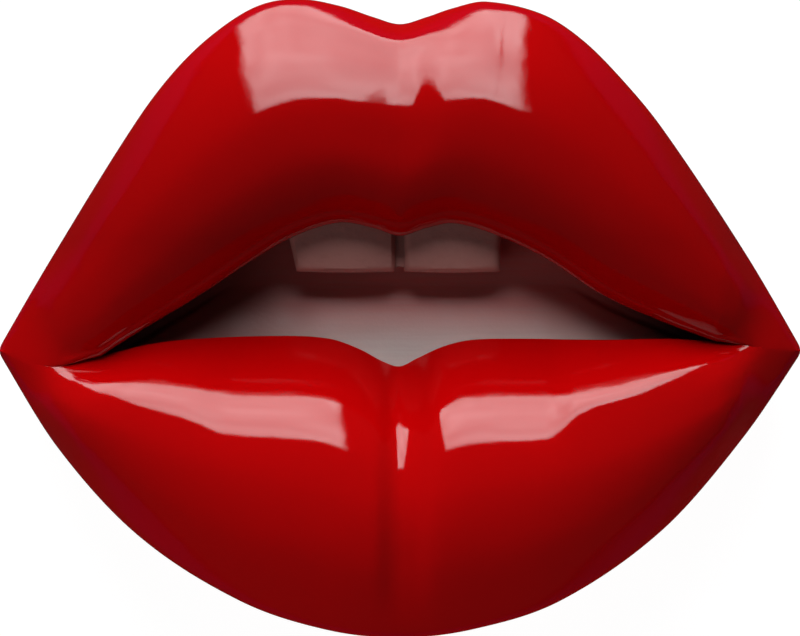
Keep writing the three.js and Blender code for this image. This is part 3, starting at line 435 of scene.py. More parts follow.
def blendCurve(points, count):  # a soft curve through given section points
    keys = np.array(points, float)
    last = len(keys) - 1
    out = []
    for s in np.linspace(0, last, count):
        k = min(int(s), last - 1)
        t = s - k
        a, b, c, d = keys[max(k - 1, 0)], keys[k], keys[k + 1], keys[min(k + 2, last)]
        out.append(0.5 * (2 * b + (c - a) * t + (2 * a - 5 * b + 4 * c - d) * t ** 2
                          + (3 * b - a - 3 * c + d) * t ** 3))
    return np.array(out)


def walkCurve(curve, start, end, steps):  # evenly spaced points
    xs = np.linspace(start, end, 900)
    points = np.stack([xs * halfWidth, curve(xs) * halfHeight], 1)
    travelled = np.concatenate([[0], np.cumsum(np.hypot(*np.diff(points, axis=0).T))])
    goals = np.linspace(0, travelled[-1], steps + 1)
    return np.stack([np.interp(goals, travelled, points[:, i]) for i in (0, 1)], 1)


def joinWalks(*walks):
    return np.concatenate([walks[0]] + [walk[1:] for walk in walks[1:]])


def makePiece(name, verts, faces, finish=None, sharp=None, weld=0.0):
    mesh = bpy.data.meshes.new(name)
    mesh.from_pydata([tuple(float(c) * mm for c in v) for v in verts], [], faces)
    work = bmesh.new()
    work.from_mesh(mesh)
    if weld:
        bmesh.ops.remove_doubles(work, verts=work.verts, dist=weld * mm)
        bmesh.ops.dissolve_degenerate(work, edges=work.edges, dist=weld * mm / 2)
    bmesh.ops.recalc_face_normals(work, faces=work.faces)
    work.to_mesh(mesh)
    work.free()
    return linkPiece(name, mesh, finish, sharp)


def linkPiece(name, mesh, finish=None, sharp=None):
    mesh.shade_smooth()
    if sharp:
        mesh.set_sharp_from_angle(angle=math.radians(sharp))
    piece = bpy.data.objects.new(name, mesh)
    bpy.context.scene.collection.objects.link(piece)
    if finish:
        mesh.materials.clear()
        mesh.materials.append(finishes[finish])
    return piece


def settle(piece, body, slot, *nodes):
    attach(piece, body)
    if nodes:
        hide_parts(*nodes)


def ringsBody(rings, closed=True):  # a body lofted through equal rings, capped at both ends
    count = len(rings[0])
    verts = [point for ring in rings for point in ring]
    faces = []
    for start in range(0, (len(rings) - 1) * count, count):
        for i in range(count):
            after = (i + 1) % count
            faces.append((start + i, start + after, start + count + after, start + count + i))
    if closed:
        faces += [tuple(range(count)), tuple(range((len(rings) - 1) * count, len(rings) * count))]
    return verts, faces


def mergeBodies(bodies):
    verts, faces = [], []
    for some, more in bodies:
        faces += [tuple(v + len(verts) for v in face) for face in more]
        verts += [tuple(v) for v in some]
    return verts, faces


def lathe(profile, x=0.0, y=0.0, sides=48):  # a turned body from a profile of (radius, z), capped at its ends
    angles = [2 * math.pi * i / sides for i in range(sides)]
    return ringsBody([[(x + r * math.cos(a), y + r * math.sin(a), z) for a in angles] for r, z in profile])


def roundedRect(halfX, halfY, radius, x=0.0, y=0.0, perCorner=8):
    points = []
    for corner, (sx, sy) in enumerate(((1, 1), (-1, 1), (-1, -1), (1, -1))):
        for i in range(perCorner + 1):
            a = math.pi / 2 * (corner + i / perCorner)
            points.append((x + sx * (halfX - radius) + radius * math.cos(a),
                           y + sy * (halfY - radius) + radius * math.sin(a)))
    return points


def stackedRects(levels, x=0.0, y=0.0, perCorner=8):  # levels of (halfX, halfY, radius, z)
    return ringsBody([[(px, py, z) for px, py in roundedRect(hx, hy, r, x, y, perCorner)]
                      for hx, hy, r, z in levels])


def boxBody(lowX, highX, lowY, highY, lowZ, highZ):
    return ringsBody([[(lowX, lowY, z), (highX, lowY, z), (highX, highY, z), (lowX, highY, z)]
                      for z in (lowZ, highZ)])


def weldMesh(mesh, reach):  # joins corners that lie closer than reach, in mm
    work = bmesh.new()
    work.from_mesh(mesh)
    bmesh.ops.remove_doubles(work, verts=work.verts, dist=reach * mm)
    bmesh.ops.delete(work, geom=[edge for edge in work.edges if not edge.link_faces], context="EDGES")
    bmesh.ops.recalc_face_normals(work, faces=work.faces)
    work.to_mesh(mesh)
    work.free()


def takeBody(piece):  # a piece's verts in mm and its faces; the piece itself goes
    mesh = piece.data
    body = [tuple(c / mm for c in v.co) for v in mesh.vertices], [tuple(p.vertices) for p in mesh.polygons]
    bpy.data.objects.remove(piece, do_unlink=True)
    return body


def slabFaces(columns, rows):  # a slab: a grid of points in front, the same behind, a wall round them
    count = (columns + 1) * (rows + 1)
    faces = []
    for i in range(columns):
        for k in range(rows):
            a = i * (rows + 1) + k
            quad = (a, a + rows + 1, a + rows + 2, a + 1)
            faces += [quad, tuple(v + count for v in reversed(quad))]
    edge = [i * (rows + 1) for i in range(columns + 1)]
    edge += [columns * (rows + 1) + k for k in range(1, rows + 1)]
    edge += [i * (rows + 1) + rows for i in range(columns - 1, -1, -1)]
    edge += list(range(rows - 1, 0, -1))
    return faces + [(a, b, b + count, a + count) for a, b in zip(edge, edge[1:] + edge[:1])]


def combine(name, body, extra=(), removed=(), finish=None, sharp=32):  # body and extras, less the removed
    work = makePiece(name + "Work", *body)
    for bodies, operation in ((extra, "UNION"), (removed, "DIFFERENCE")):
        if not bodies:
            continue
        tool = makePiece(name + "Tool", *mergeBodies(bodies))
        change = work.modifiers.new(operation, "BOOLEAN")
        change.operation = operation
        change.solver = "EXACT"
        change.object = tool
        change.use_self = operation == "UNION"  # added pieces may overlap one another
        bpy.context.view_layer.update()
        depsgraph = bpy.context.evaluated_depsgraph_get()
        mesh = bpy.data.meshes.new_from_object(work.evaluated_get(depsgraph))
        for old in (tool, work):
            bpy.data.objects.remove(old, do_unlink=True)
        work = bpy.data.objects.new(name + "Work", mesh)
        bpy.context.scene.collection.objects.link(work)
    mesh = work.data
    bpy.data.objects.remove(work, do_unlink=True)
    mesh.name = name
    weldMesh(mesh, 0.004)
    return linkPiece(name, mesh, finish, sharp)


# ---- the form of the lips, shared by shell, liner, teeth and cover (shares of half the overall sizes)

noseEdge = curveThrough([
    (-1, -0.103), (-0.849, 0.22), (-0.649, 0.625), (-0.549, 0.788), (-0.449, 0.904), (-0.349, 0.98),
    (-0.25, 1), (-0.148, 0.978), (-0.065, 0.943), (0, 0.921), (0.065, 0.943), (0.13, 0.971),
    (0.213, 0.992), (0.352, 0.953), (0.451, 0.873), (0.551, 0.747), (0.651, 0.593), (0.851, 0.214),
    (1, -0.103)])
chinEdge = curveThrough([
    (-1, -0.103), (-0.849, -0.404), (-0.648, -0.68), (-0.398, -0.883), (-0.185, -0.974), (0, -1),
    (0.185, -0.972), (0.398, -0.883), (0.648, -0.664), (0.851, -0.373), (1, -0.103)])
mouthLeft, mouthRight = -0.741, 0.781
upperRim = curveThrough([
    (mouthLeft, -0.119), (-0.648, -0.044), (-0.5, 0.068), (-0.349, 0.193), (-0.25, 0.261),
    (-0.148, 0.297), (-0.065, 0.28), (0, 0.256), (0.065, 0.28), (0.13, 0.295), (0.222, 0.266),
    (0.352, 0.192), (0.5, 0.073), (0.651, -0.012), (mouthRight, -0.073)])
lowerRim = curveThrough([
    (mouthLeft, -0.119), (-0.63, -0.084), (-0.519, -0.066), (-0.296, -0.056), (-0.176, -0.065),
    (-0.102, -0.097), (-0.037, -0.14), (0, -0.152), (0.042, -0.127), (0.106, -0.09), (0.176, -0.069),
    (0.296, -0.065), (0.5, -0.068), (0.667, -0.065), (mouthRight, -0.073)])
leftCrease = curveThrough([(-1, -0.103), (-0.866, -0.152), (mouthLeft, -0.119)])
rightCrease = curveThrough([(mouthRight, -0.073), (0.902, -0.093), (1, -0.103)])
crestFall = curveThrough([(0, 0.94), (0.14, 1), (0.4, 0.957), (0.65, 0.8), (0.8, 0.58), (0.92, 0.28), (1, 0)])
creaseFall = curveThrough([(0, 1), (0.7, 0.857), (0.8, 0.75), (0.92, 0.39), (1, 0)])

lipForm = dict(
    halfSteps=150, creaseShare=0.25, fadeEnd=0.92, sectionPoints=72, wallPoints=10,
    upperRise=25.5, lowerRise=28, creaseRise=17, cornerRise=7.5, tipRise=3,
    bowCatch=5.0, bowShare=0.8, philtrum=dict(depth=1.3, centre=3.0, left=40.0, right=6.0),
    groove=dict(depth=2.3, centre=0.9, left=5.4, right=6.6), lowerCrest=0.49, rimTilt=53.0,
    pillowTilts=(45.0, 13.0),
    throat=-9.3, throatStep=3.2, wall=2.2)
# how far in from the rim the lower lip starts to roll over, and over what width, against the place across
rollStart = curveThrough([(-108, 1.5), (-90, 4), (-72, 9.5), (-52, 14.3), (-22, 15.6), (22, 14.6), (48, 14.4),
                          (70, 9), (90, 1.6), (108, 1.5)])
rollWidth = curveThrough([(-108, 5), (-73, 5.6), (-54, 8.4), (-42, 12), (-12, 13), (36, 13), (45, 5.5),
                          (56, 2.8), (80, 2.8), (92, 4.5), (108, 5)])
upperSection = [
    (0, 0), (0, 0.12), (0.002, 0.215), (0.016, 0.31), (0.1, 0.49), (0.2, 0.68), (0.3, 0.83), (0.44, 0.965),
    (0.58, 1), (0.72, 0.96), (0.835, 0.83), (0.915, 0.665), (0.945, 0.585), (0.97, 0.545), (0.993, 0.46),
    (1, 0.385), (0.99, 0.3)]
lowerSection = [
    (0, 0), (0, 0.18), (0.002, 0.3), (0.0175, 0.375), (0.09, 0.54), (0.18, 0.72), (0.27, 0.86), (0.38, 0.96),
    (0.49, 1), (0.59, 0.97), (0.68, 0.88), (0.76, 0.74), (0.83, 0.58), (0.9, 0.38), (0.96, 0.2),
    (0.992, 0.08), (1, 0.0)]
creaseSection = [
    (0, 0), (0, 0.2), (0.003, 0.34), (0.02, 0.42), (0.1, 0.55), (0.2, 0.67), (0.3, 0.77), (0.42, 0.87),
    (0.54, 0.94), (0.65, 0.975), (0.75, 0.99), (0.83, 1), (0.89, 1), (0.94, 1), (0.975, 1), (0.99, 1), (1, 1)]


def edgeWalk(curve, steps):
    return joinWalks(walkCurve(curve, -1, 0, steps), walkCurve(curve, 0, 1, steps))


def rimWalk(rim, steps, creaseShare):
    crease = int(steps * creaseShare)
    return joinWalks(walkCurve(leftCrease, -1, mouthLeft, crease),
                     walkCurve(rim, mouthLeft, 0, steps - crease),
                     walkCurve(rim, 0, mouthRight, steps - crease),
                     walkCurve(rightCrease, mouthRight, 1, crease))


def roundTips(nose, chin, reach):  # softens the two sharp ends of the outline in plan
    steps = len(nose) - 1
    loop = np.concatenate([nose, chin[-2:0:-1]])
    gap = np.linalg.norm(loop - np.roll(loop, 1, axis=0), axis=1).mean()
    soft = loop.copy()
    near = smoothStep(halfWidth - 5 * reach, halfWidth - 2 * reach, abs(loop[:, 0]))[:, None]
    for _ in range(int((reach / gap) ** 2)):
        soft = soft + near * 0.5 * ((np.roll(soft, 1, axis=0) + np.roll(soft, -1, axis=0)) / 2 - soft)
    soft[:, 0] *= halfWidth / abs(soft[:, 0]).max()
    newChin = np.concatenate([soft[:1], soft[:steps - 1:-1]])
    return soft[:steps + 1], newChin[:steps + 1]


def pillow(length, place, crest, reach, form=lipForm):  # the lower lip from its crest in to the rim
    crestAt = (1 - form["lowerCrest"]) * length
    start = min(float(rollStart(place)), crestAt * 0.45)
    width = min(float(rollWidth(place)), crestAt * 0.45)
    steep, flat = form["pillowTilts"]
    inward = np.linspace(0, crestAt, 240)
    tilt = np.interp(inward, [0, start, start + width, crestAt], [form["rimTilt"], steep, flat, 0])
    kernel = np.ones(15) / 15
    tilt = np.convolve(np.pad(tilt, 7, mode="edge"), kernel, mode="valid")
    fall = np.tan(np.radians(tilt)) * (inward[1] - inward[0])
    left = np.concatenate([np.cumsum(fall[::-1])[::-1][1:], [0]])
    left *= min(1.0, (crest - 1.0) / max(left[0], 1e-6))
    return crest - np.interp((1 - reach) * length, inward, left)


def lipGrid(isUpper, edge, form=lipForm):
    steps = form["halfSteps"]
    share = abs(np.linspace(-1, 1, 2 * steps + 1))[:, None]
    rim = rimWalk(upperRim if isUpper else lowerRim, steps, form["creaseShare"])
    corner = 1 - form["creaseShare"]
    rise = form["upperRise"] if isUpper else form["lowerRise"]
    crest = form["tipRise"] + (rise - form["tipRise"]) * crestFall(share)
    crease = form["tipRise"] + (form["creaseRise"] - form["tipRise"]) * creaseFall(share)
    closed = smoothStep(corner - 0.02, form["fadeEnd"], share)
    section = blendCurve(upperSection if isUpper else lowerSection, form["sectionPoints"])
    seam = blendCurve(creaseSection, form["sectionPoints"])
    reach = section[None, :, 0] * (1 - closed) + seam[None, :, 0] * closed
    open_ = section[None, :, 1] * crest
    span = np.linalg.norm(rim - edge, axis=1)
    if isUpper:  # the bow's dip only notches the edge: a little way in, the form runs level across it
        dip = halfHeight * (1 - noseEdge(edge[:, 0] / halfWidth)) * form["bowShare"]
        dip *= 1 - smoothStep(24, 30, abs(edge[:, 0]))
        steady = np.linspace(0, 1, 400)
        for i in np.nonzero(dip > 0.01)[0]:
            caught = dip[i] * (1 - np.exp(-steady * span[i] / form["bowCatch"]))
            sunk = (steady * span[i] + caught) / (span[i] + dip[i])
            sunk = sunk / sunk[-1]
            reach[i] = np.where(reach[i] <= 1, np.interp(reach[i], sunk, steady), reach[i])
    else:
        inner = section[:, 0] >= form["lowerCrest"]
        for i in range(len(span)):
            if closed[i, 0] < 1 and span[i] > 8:
                open_[i, inner] = pillow(span[i], float(rim[i, 0]), float(crest[i, 0]), section[inner, 0])
    height = open_ * (1 - closed) + seam[None, :, 1] * crease * closed
    # both rims come to one height at the corner of the mouth, and stay together along the crease
    together = form["cornerRise"] * (1 - closed) + crease * closed
    meet = smoothStep(0.5, corner, share)
    past = np.clip((reach - 0.6) / 0.4, 0, 1) ** 2
    height = height + (together - height[:, -1:]) * meet * past
    across = edge[:, None, :] + (rim - edge)[:, None, :] * reach[:, :, None]
    if isUpper:
        philtrum = form["philtrum"]
        off = across[:, :, 0] - philtrum["centre"]
        width = np.where(off > 0, philtrum["right"], philtrum["left"])
        sink = philtrum["depth"] * np.exp(-(off / width) ** 2) * smoothStep(0.08, 0.2, reach)
        sink *= 1 - smoothStep(0.55, 0.8, reach)
    else:
        groove = form["groove"]
        off = across[:, :, 0] - groove["centre"]
        sink = groove["depth"] * np.exp(-abs(off / np.where(off > 0, groove["right"], groove["left"])) ** 3.5)
        sink = sink * smoothStep(0.02, 0.3, reach)
    faded = np.clip((height - 5) / 10, 0, 1)
    if not isUpper:
        faded = np.where(section[None, :, 0] > form["lowerCrest"], 1.0, faded)
    return across, height - sink * faded, rim


# the crease fades out before the tips, and both rims keep one height wherever they are shared
def softenTips(upperHeights, lowerHeights, acrossUpper, shared, turns=500):
    stacked = np.concatenate([upperHeights, lowerHeights[:, -2::-1]], axis=1)
    ease = smoothStep(88, 101, abs(acrossUpper[:, -1, 0]))[:, None] * np.ones_like(stacked)
    rows = np.minimum(np.arange(stacked.shape[1]), np.arange(stacked.shape[1])[::-1])
    ease = ease * smoothStep(8, 22, rows)[None, :]
    for _ in range(turns):
        sides = (np.roll(stacked, 1, 1) + np.roll(stacked, -1, 1)) / 2
        stacked = stacked + ease * 0.5 * (sides - stacked)
    count = upperHeights.shape[1]
    upperSoft, lowerSoft = stacked[:, :count], stacked[:, :count - 2:-1].copy()
    lowerSoft[:, -1] = np.where(shared, lowerSoft[:, -1], lowerHeights[:, -1])
    return upperSoft, lowerSoft


def makeLips(form=lipForm):
    steps = form["halfSteps"]
    stations = 2 * steps + 1
    nose, chin = roundTips(edgeWalk(noseEdge, steps), edgeWalk(chinEdge, steps), 2.2)
    upper, lower = lipGrid(True, nose), lipGrid(False, chin)
    corner = 1 - form["creaseShare"]
    shares = abs(np.linspace(-1, 1, stations))
    upperHeights, lowerHeights = softenTips(upper[1], lower[1], upper[0], shares >= corner - 1e-9)
    verts, faces = [], []
    rows = form["sectionPoints"] + form["wallPoints"]
    for isUpper, (across, _, rim), heights, edge in ((True, upper, upperHeights, nose),
                                                     (False, lower, lowerHeights, chin)):
        start = len(verts)
        for i in range(stations):
            for k in range(form["sectionPoints"]):
                verts.append((across[i, k, 0], across[i, k, 1], partingHeight + heights[i, k]))
            for k in range(1, form["wallPoints"] + 1):
                t = k / form["wallPoints"]
                back = (rim[i] - edge[i]) / max(np.linalg.norm(rim[i] - edge[i]), 1) * form["throatStep"]
                place = across[i, -1] - back * t * min(1.0, 4 * (1 - shares[i]))
                level = heights[i, -1] + (form["throat"] - heights[i, -1]) * t
                verts.append((place[0], place[1], partingHeight + level))
        for i in range(stations - 1):
            inMouth = max(shares[i], shares[i + 1]) <= corner + 1e-9
            for k in range(rows - 1 if inMouth else form["sectionPoints"] - 1):
                a = start + i * rows + k
                faces.append((a, a + rows, a + rows + 1, a + 1))
    used = sorted({v for face in faces for v in face})
    place = {v: i for i, v in enumerate(used)}
    lips = makePiece("lips_shell", [verts[v] for v in used],
                     [tuple(place[v] for v in face) for face in faces],
                     "lipGloss", sharp=70, weld=0.02)
    thick = lips.modifiers.new("wall", "SOLIDIFY")
    thick.thickness = form["wall"] * mm
    thick.offset = -1
    thick.use_rim = True
    settle(lips, "case", "lip_gloss", "front_shell")
    return lips


lips = makeLips()
print("lips made")


# ---- mouth: liner and teeth

mouthForm = dict(back=20.4, thickness=1.8, lap=4.5, rampSlope=0.26, rampStart=9, steps=120, rows=46, clear=1.4)


def makeLiner(form=mouthForm):
    steps, rows = form["steps"], form["rows"]
    lowX, highX = mouthLeft * halfWidth - form["lap"], mouthRight * halfWidth + form["lap"]
    front, behind = [], []
    for i in range(steps + 1):
        x = lowX + (highX - lowX) * i / steps
        share = float(np.clip(x / halfWidth, mouthLeft, mouthRight))
        low, high = float(lowerRim(share)) * halfHeight, float(upperRim(share)) * halfHeight
        for k in range(rows + 1):
            y = low - form["lap"] + (high - low + 2 * form["lap"]) * k / rows
            inside = float(smoothStep(-2.2, -1.0, y - low)
                           * smoothStep(form["clear"], form["clear"] + 2.0, high - y)
                           * smoothStep(4, 12, x - mouthLeft * halfWidth)
                           * smoothStep(4, 12, mouthRight * halfWidth - x))
            lift = max(form["rampStart"] - y, 0.0) * form["rampSlope"]
            front.append((x, y, form["back"] + lift * inside))
            behind.append((x, y, form["back"] - form["thickness"]))
    liner = makePiece("mouth_lining", front + behind, slabFaces(steps, rows), "linerWhite", sharp=50)
    settle(liner, "case", "liner_white", "mouth_liner")


toothForm = dict(
    bottom=12.6, front=34.0, back=24.2, underLip=4.0, columns=26, rows=16, crown=1.1, edge=1.3,
    teeth=[dict(outer=-30.6, inner=-1.3, slant=2.7), dict(outer=27.4, inner=1.2, slant=0.4)],
    web=dict(low=-2.4, high=2.2, bottom=13.3, front=31.0, notch=0.7))


def toothBody(tooth, form=toothForm):
    columns, rows = form["columns"], form["rows"]
    outer, inner = tooth["outer"], tooth["inner"]
    grid = []
    for i in range(columns + 1):
        u = i / columns
        column = []
        for k in range(rows + 1):
            v = k / rows
            lean = math.copysign(tooth["slant"], -outer) * (1 - v)
            x = (outer + lean) * (1 - u) + inner * u
            top = float(upperRim(x / halfWidth)) * halfHeight + form["underLip"]
            y = form["bottom"] + 0.35 * math.sin(math.pi * u) * -1 + (top - form["bottom"]) * v
            round_ = min(u, 1 - u) * abs(outer - inner)
            sides = 1 - max(0.0, 1 - round_ / form["edge"]) ** 2
            foot = 1 - max(0.0, 1 - v * (top - form["bottom"]) / form["edge"]) ** 2
            z = (form["front"] - form["edge"] * (1 - sides) - form["edge"] * (1 - foot)
                 - form["crown"] * ((u - 0.5) * 2) ** 2 * 0.6 + 0.8 * v)
            column.append((x, y, z))
        grid.append(column)
    verts = [point for column in grid for point in column]
    verts += [(x, y, form["back"]) for x, y, _ in verts]
    return verts, slabFaces(columns, rows)


def makeTeeth(form=toothForm):
    web = form["web"]
    top = float(upperRim(0)) * halfHeight + form["underLip"]
    lower = [(web["low"], web["bottom"]), (0, web["bottom"] + web["notch"]), (web["high"], web["bottom"])]
    ring = lower + [(web["high"], top), (web["low"], top)]
    bridge = ringsBody([[(x, y, z) for x, y in ring] for z in (form["back"] + 0.5, web["front"])])
    root = boxBody(-25, 23, form["bottom"] + 2, float(upperRim(0)) * halfHeight - 2, 20.7, form["back"] + 1)
    pair = takeBody(combine("teeth_pair", toothBody(form["teeth"][0]), [toothBody(form["teeth"][1])]))
    teeth = combine("teeth_pair", pair, [bridge, root], (), "toothGloss", sharp=45)
    settle(teeth, "case", "tooth_gloss", "front_teeth")


makeLiner()
makeTeeth()
print("mouth made")


# ---- rear cover

coverForm = dict(
    wall=2.5, base=2.5, floorTop=5.0, tuck=16.0, gap=0.35, rows=26, steps=150,
    column=5.0, bore=3.3, web=7.5, pilot=1.75, chamfer=0.45, windowRadius=5.0, footPocket=1.5, footClear=0.3,
    earHoles=dict(count=6, ring=6.0, radius=1.2), voiceHoles=dict(count=3, ring=2.8, radius=0.9),
    ringHoles=dict(count=4, ring=4.0, radius=1.1), slotSlack=0.4, knobTravel=4.0,
    seats=dict(receiver_capsule=7, microphone_boot=4, ringer_disc=3), seatClear=0.3, seatWall=2.0,
    guide=dict(clear=0.5, wall=1.3, top=12, bore=4.3), springPost=dict(radius=2.2, top=21, apart=11.5))
knobForm = dict(flange=1.0, flangeHeight=0.9, ribs=4, ribDepth=0.45, shoulder=0.5, edge=0.3)
coverRimZ = partingHeight - coverForm["gap"]
coverPlan = roundTips(edgeWalk(noseEdge, coverForm["steps"]), edgeWalk(chinEdge, coverForm["steps"]), 2.2)
coverPlan = np.concatenate([coverPlan[0], coverPlan[1][-2:0:-1]])


def coverLoop(drop, inset, z):
    tuck = coverForm["tuck"] * (1 - (1 - drop ** 3) ** 0.45) + inset
    return [(x * (1 - tuck / halfWidth), y * (1 - tuck / halfHeight), z) for x, y in coverPlan]


def coverBowl(form=coverForm):
    shares = [math.sin(math.pi / 2 * k / form["rows"]) for k in range(form["rows"] + 1)]
    rings = [coverLoop(d, 0, coverRimZ + (form["base"] - coverRimZ) * d) for d in reversed(shares)]
    rings.insert(0, coverLoop(1, 2.0, form["base"]))
    rings += [coverLoop(d, form["wall"], coverRimZ + (form["floorTop"] - coverRimZ) * d) for d in shares]
    return ringsBody(rings)


def holeCutter(x, y, radius, form=coverForm, sides=28):  # a drilled hole with a softened mouth
    flare, base = form["chamfer"], form["base"]
    return lathe([(radius + flare + 1, base - 1), (radius + flare, base), (radius, base + flare),
                  (radius, form["floorTop"] + 1)], x, y, sides)


def rowOfHoles(node, holes):
    x, y, _ = nodeCentre(node)
    turns = [2 * math.pi * i / holes["count"] for i in range(holes["count"])]
    spots = [(x, y)] + [(x + holes["ring"] * math.cos(a), y + holes["ring"] * math.sin(a)) for a in turns]
    return [holeCutter(px, py, holes["radius"]) for px, py in spots]


def seatRing(node, height, form=coverForm):  # the wall that holds a round part on the floor
    low, high = nodeBox(node)
    x, y = (low + high)[:2] / 2
    inner = (high[0] - low[0]) / 2 + form["seatClear"]
    return ringWall(x, y, inner, inner + form["seatWall"], form["floorTop"] - 0.5, form["floorTop"] + height)


def ringWall(x, y, inner, outer, low, high, sides=48):
    angles = [2 * math.pi * i / sides for i in range(sides)]
    loops = [[(x + r * math.cos(a), y + r * math.sin(a), z) for a in angles]
             for r, z in ((inner, low), (outer, low), (outer, high), (inner, high))]
    verts = [p for loop in loops for p in loop]
    faces = [(k * sides + i, k * sides + (i + 1) % sides, (k + 1) % 4 * sides + (i + 1) % sides,
              (k + 1) % 4 * sides + i) for k in range(4) for i in range(sides)]
    return verts, faces


def makeRearCover(form=coverForm):
    floor, base = form["floorTop"], form["base"]
    screws = [nodeBox(f"case_screw_{i}") for i in (1, 2, 3, 4)]
    plungerLow, plungerHigh = nodeBox("hook_plunger")
    plungerX, plungerY = (plungerLow + plungerHigh)[:2] / 2
    collar = (plungerHigh[0] - plungerLow[0]) / 2
    added, removed = [], []
    for low, high in screws:
        x, y = (low + high)[:2] / 2
        added.append(lathe([(form["column"], floor - 1.2), (form["column"], coverRimZ)], x, y))
        removed.append(lathe([
            (form["bore"] + form["chamfer"] + 1, base - 1), (form["bore"] + form["chamfer"], base),
            (form["bore"], base + form["chamfer"]), (form["bore"], coverRimZ - form["web"]),
            (form["pilot"], coverRimZ - form["web"]), (form["pilot"], coverRimZ + 1)], x, y))
    added += [seatRing(node, high) for node, high in form["seats"].items()]
    guide, post = form["guide"], form["springPost"]
    bore = collar + guide["clear"]
    added.append(ringWall(plungerX, plungerY, bore, bore + guide["wall"], floor - 0.5, guide["top"]))
    added += [lathe([(post["radius"], floor - 0.5), (post["radius"], post["top"])],
                    plungerX + side * post["apart"], plungerY) for side in (-1, 1)]
    bezelLow, bezelHigh = nodeBox("keypad_bezel")
    halfX, halfY = (bezelHigh - bezelLow)[:2] / 2 - 3.0
    centreX, centreY = (bezelHigh + bezelLow)[:2] / 2
    flare, radius = form["chamfer"], form["windowRadius"]
    removed.append(stackedRects([
        (halfX + flare + 1, halfY + flare + 1, radius + flare + 1, base - 1), (halfX + flare, halfY + flare,
        radius + flare, base), (halfX, halfY, radius, base + flare), (halfX, halfY, radius, floor + 1)],
        centreX, centreY, 12))
    for i in (1, 2, 3, 4):
        low, high = nodeBox(f"rubber_foot_{i}")
        pocket = (high[0] - low[0]) / 2 + form["footClear"]
        x, y = (low + high)[:2] / 2
        removed.append(lathe([(pocket, base - 1), (pocket, base + form["footPocket"])], x, y, 64))
    for knob in ("ringer_switch_knob", "dial_mode_knob"):
        low, high = nodeBox(knob)
        slack, travel = form["slotSlack"], form["knobTravel"]
        slotX = (high[0] - low[0] - 2 * knobForm["flange"] + travel) / 2 + slack * 2
        slotY = (high[1] - low[1] - 2 * knobForm["flange"]) / 2 + slack
        removed.append(stackedRects([
            (slotX + more, slotY + more, 0.6 + more, z)
            for more, z in ((flare + 1, base - 1), (flare, base), (0, base + flare), (0, floor + 1))],
            (low[0] + high[0] + travel) / 2, (low[1] + high[1]) / 2))
    removed.append(holeCutter(plungerX, plungerY, guide["bore"], sides=48))
    jackLow, jackHigh = nodeBox("line_jack")
    removed.append(boxBody(jackLow[0] - 0.3, jackHigh[0] + 0.3, jackLow[1], halfHeight + 5,
                           jackLow[2] - 0.3, jackHigh[2] + 0.3))
    removed += rowOfHoles("receiver_capsule", form["earHoles"])
    removed += rowOfHoles("microphone_boot", form["voiceHoles"])
    removed += rowOfHoles("ringer_disc", form["ringHoles"])
    cover = combine("back_cover", coverBowl(), added, removed, "coverGloss", sharp=30)
    settle(cover, "case", "cover_gloss", "rear_cover")


makeRearCover()
print("rear cover made")


# ---- keypad

keyForm = dict(
    tip=3.0, dish=0.35, bevel=1.1, halfX=5.0, halfY=6.5, corner=2.0, flange=1.0, flangeLow=7.1, flangeHigh=8.1,
    perCorner=7, markDepth=0.4, markSize=7.2)
keyMarks = dict(key_1="1", key_2="2", key_3="3", key_4="4", key_5="5", key_6="6", key_7="7", key_8="8",
                key_9="9", key_0="0", key_star="*", key_hash="#")
bezelForm = dict(lap=3.0, low=5.3, high=6.8, lipLow=2.8, lip=1.2, clear=0.35, chamfer=0.4,
                 ribHalf=0.35, ribRise=0.5)


def keyBody(x, y, form=keyForm):
    rings = []
    for share in (0.01, 0.2, 0.4, 0.6, 0.8, 1.0):  # the dished face
        hollow = form["dish"] * (1 - share ** 2)
        rings.append(((form["halfX"] - form["bevel"]) * share, (form["halfY"] - form["bevel"]) * share,
                      max(form["corner"] - form["bevel"] * 0.6, 0.4) * share, form["tip"] + hollow))
    for i in range(1, 7):  # the rounded edge
        a = math.pi / 2 * i / 6
        grow = form["bevel"] * math.sin(a)
        rings.append((form["halfX"] - form["bevel"] + grow, form["halfY"] - form["bevel"] + grow,
                      form["corner"] - form["bevel"] * 0.6 + grow * 0.6,
                      form["tip"] + form["bevel"] * (1 - math.cos(a))))
    stem = [(form["halfX"], form["halfY"], form["corner"], form["flangeLow"])]
    wide = [(form["halfX"] + form["flange"], form["halfY"] + form["flange"], form["corner"] * 0.6, z)
            for z in (form["flangeLow"], form["flangeHigh"])]
    return stackedRects(rings + stem + wide, x, y, form["perCorner"])


def markTurn(x, y, z):  # marks read with the nose side of the telephone to the reader's left
    turn = Matrix(((0, -1, 0, 0), (-1, 0, 0, 0), (0, 0, -1, 0), (0, 0, 0, 1)))
    return Matrix.Translation(Vector((x, y, z)) * mm) @ turn


def glyph(name, text, x, y, form=keyForm):
    curve = bpy.data.curves.new(name, "FONT")
    curve.body = text
    curve.size = form["markSize"] * mm * (1.35 if text == "*" else 1.0)
    curve.extrude = form["markDepth"] / 2 * mm
    curve.resolution_u = 6
    holder = bpy.data.objects.new(name + "Curve", curve)
    bpy.context.scene.collection.objects.link(holder)
    bpy.context.view_layer.update()
    mesh = bpy.data.meshes.new_from_object(holder.evaluated_get(bpy.context.evaluated_depsgraph_get()))
    bpy.data.objects.remove(holder, do_unlink=True)
    places = np.array([v.co for v in mesh.vertices])
    centre = (places.min(0) + places.max(0)) / 2
    level = form["tip"] + form["markDepth"] / 2 + 0.08
    mesh.transform(markTurn(x, y, level) @ Matrix.Translation(-Vector(centre)))
    mesh.name = name
    weldMesh(mesh, 0.002)
    return mesh


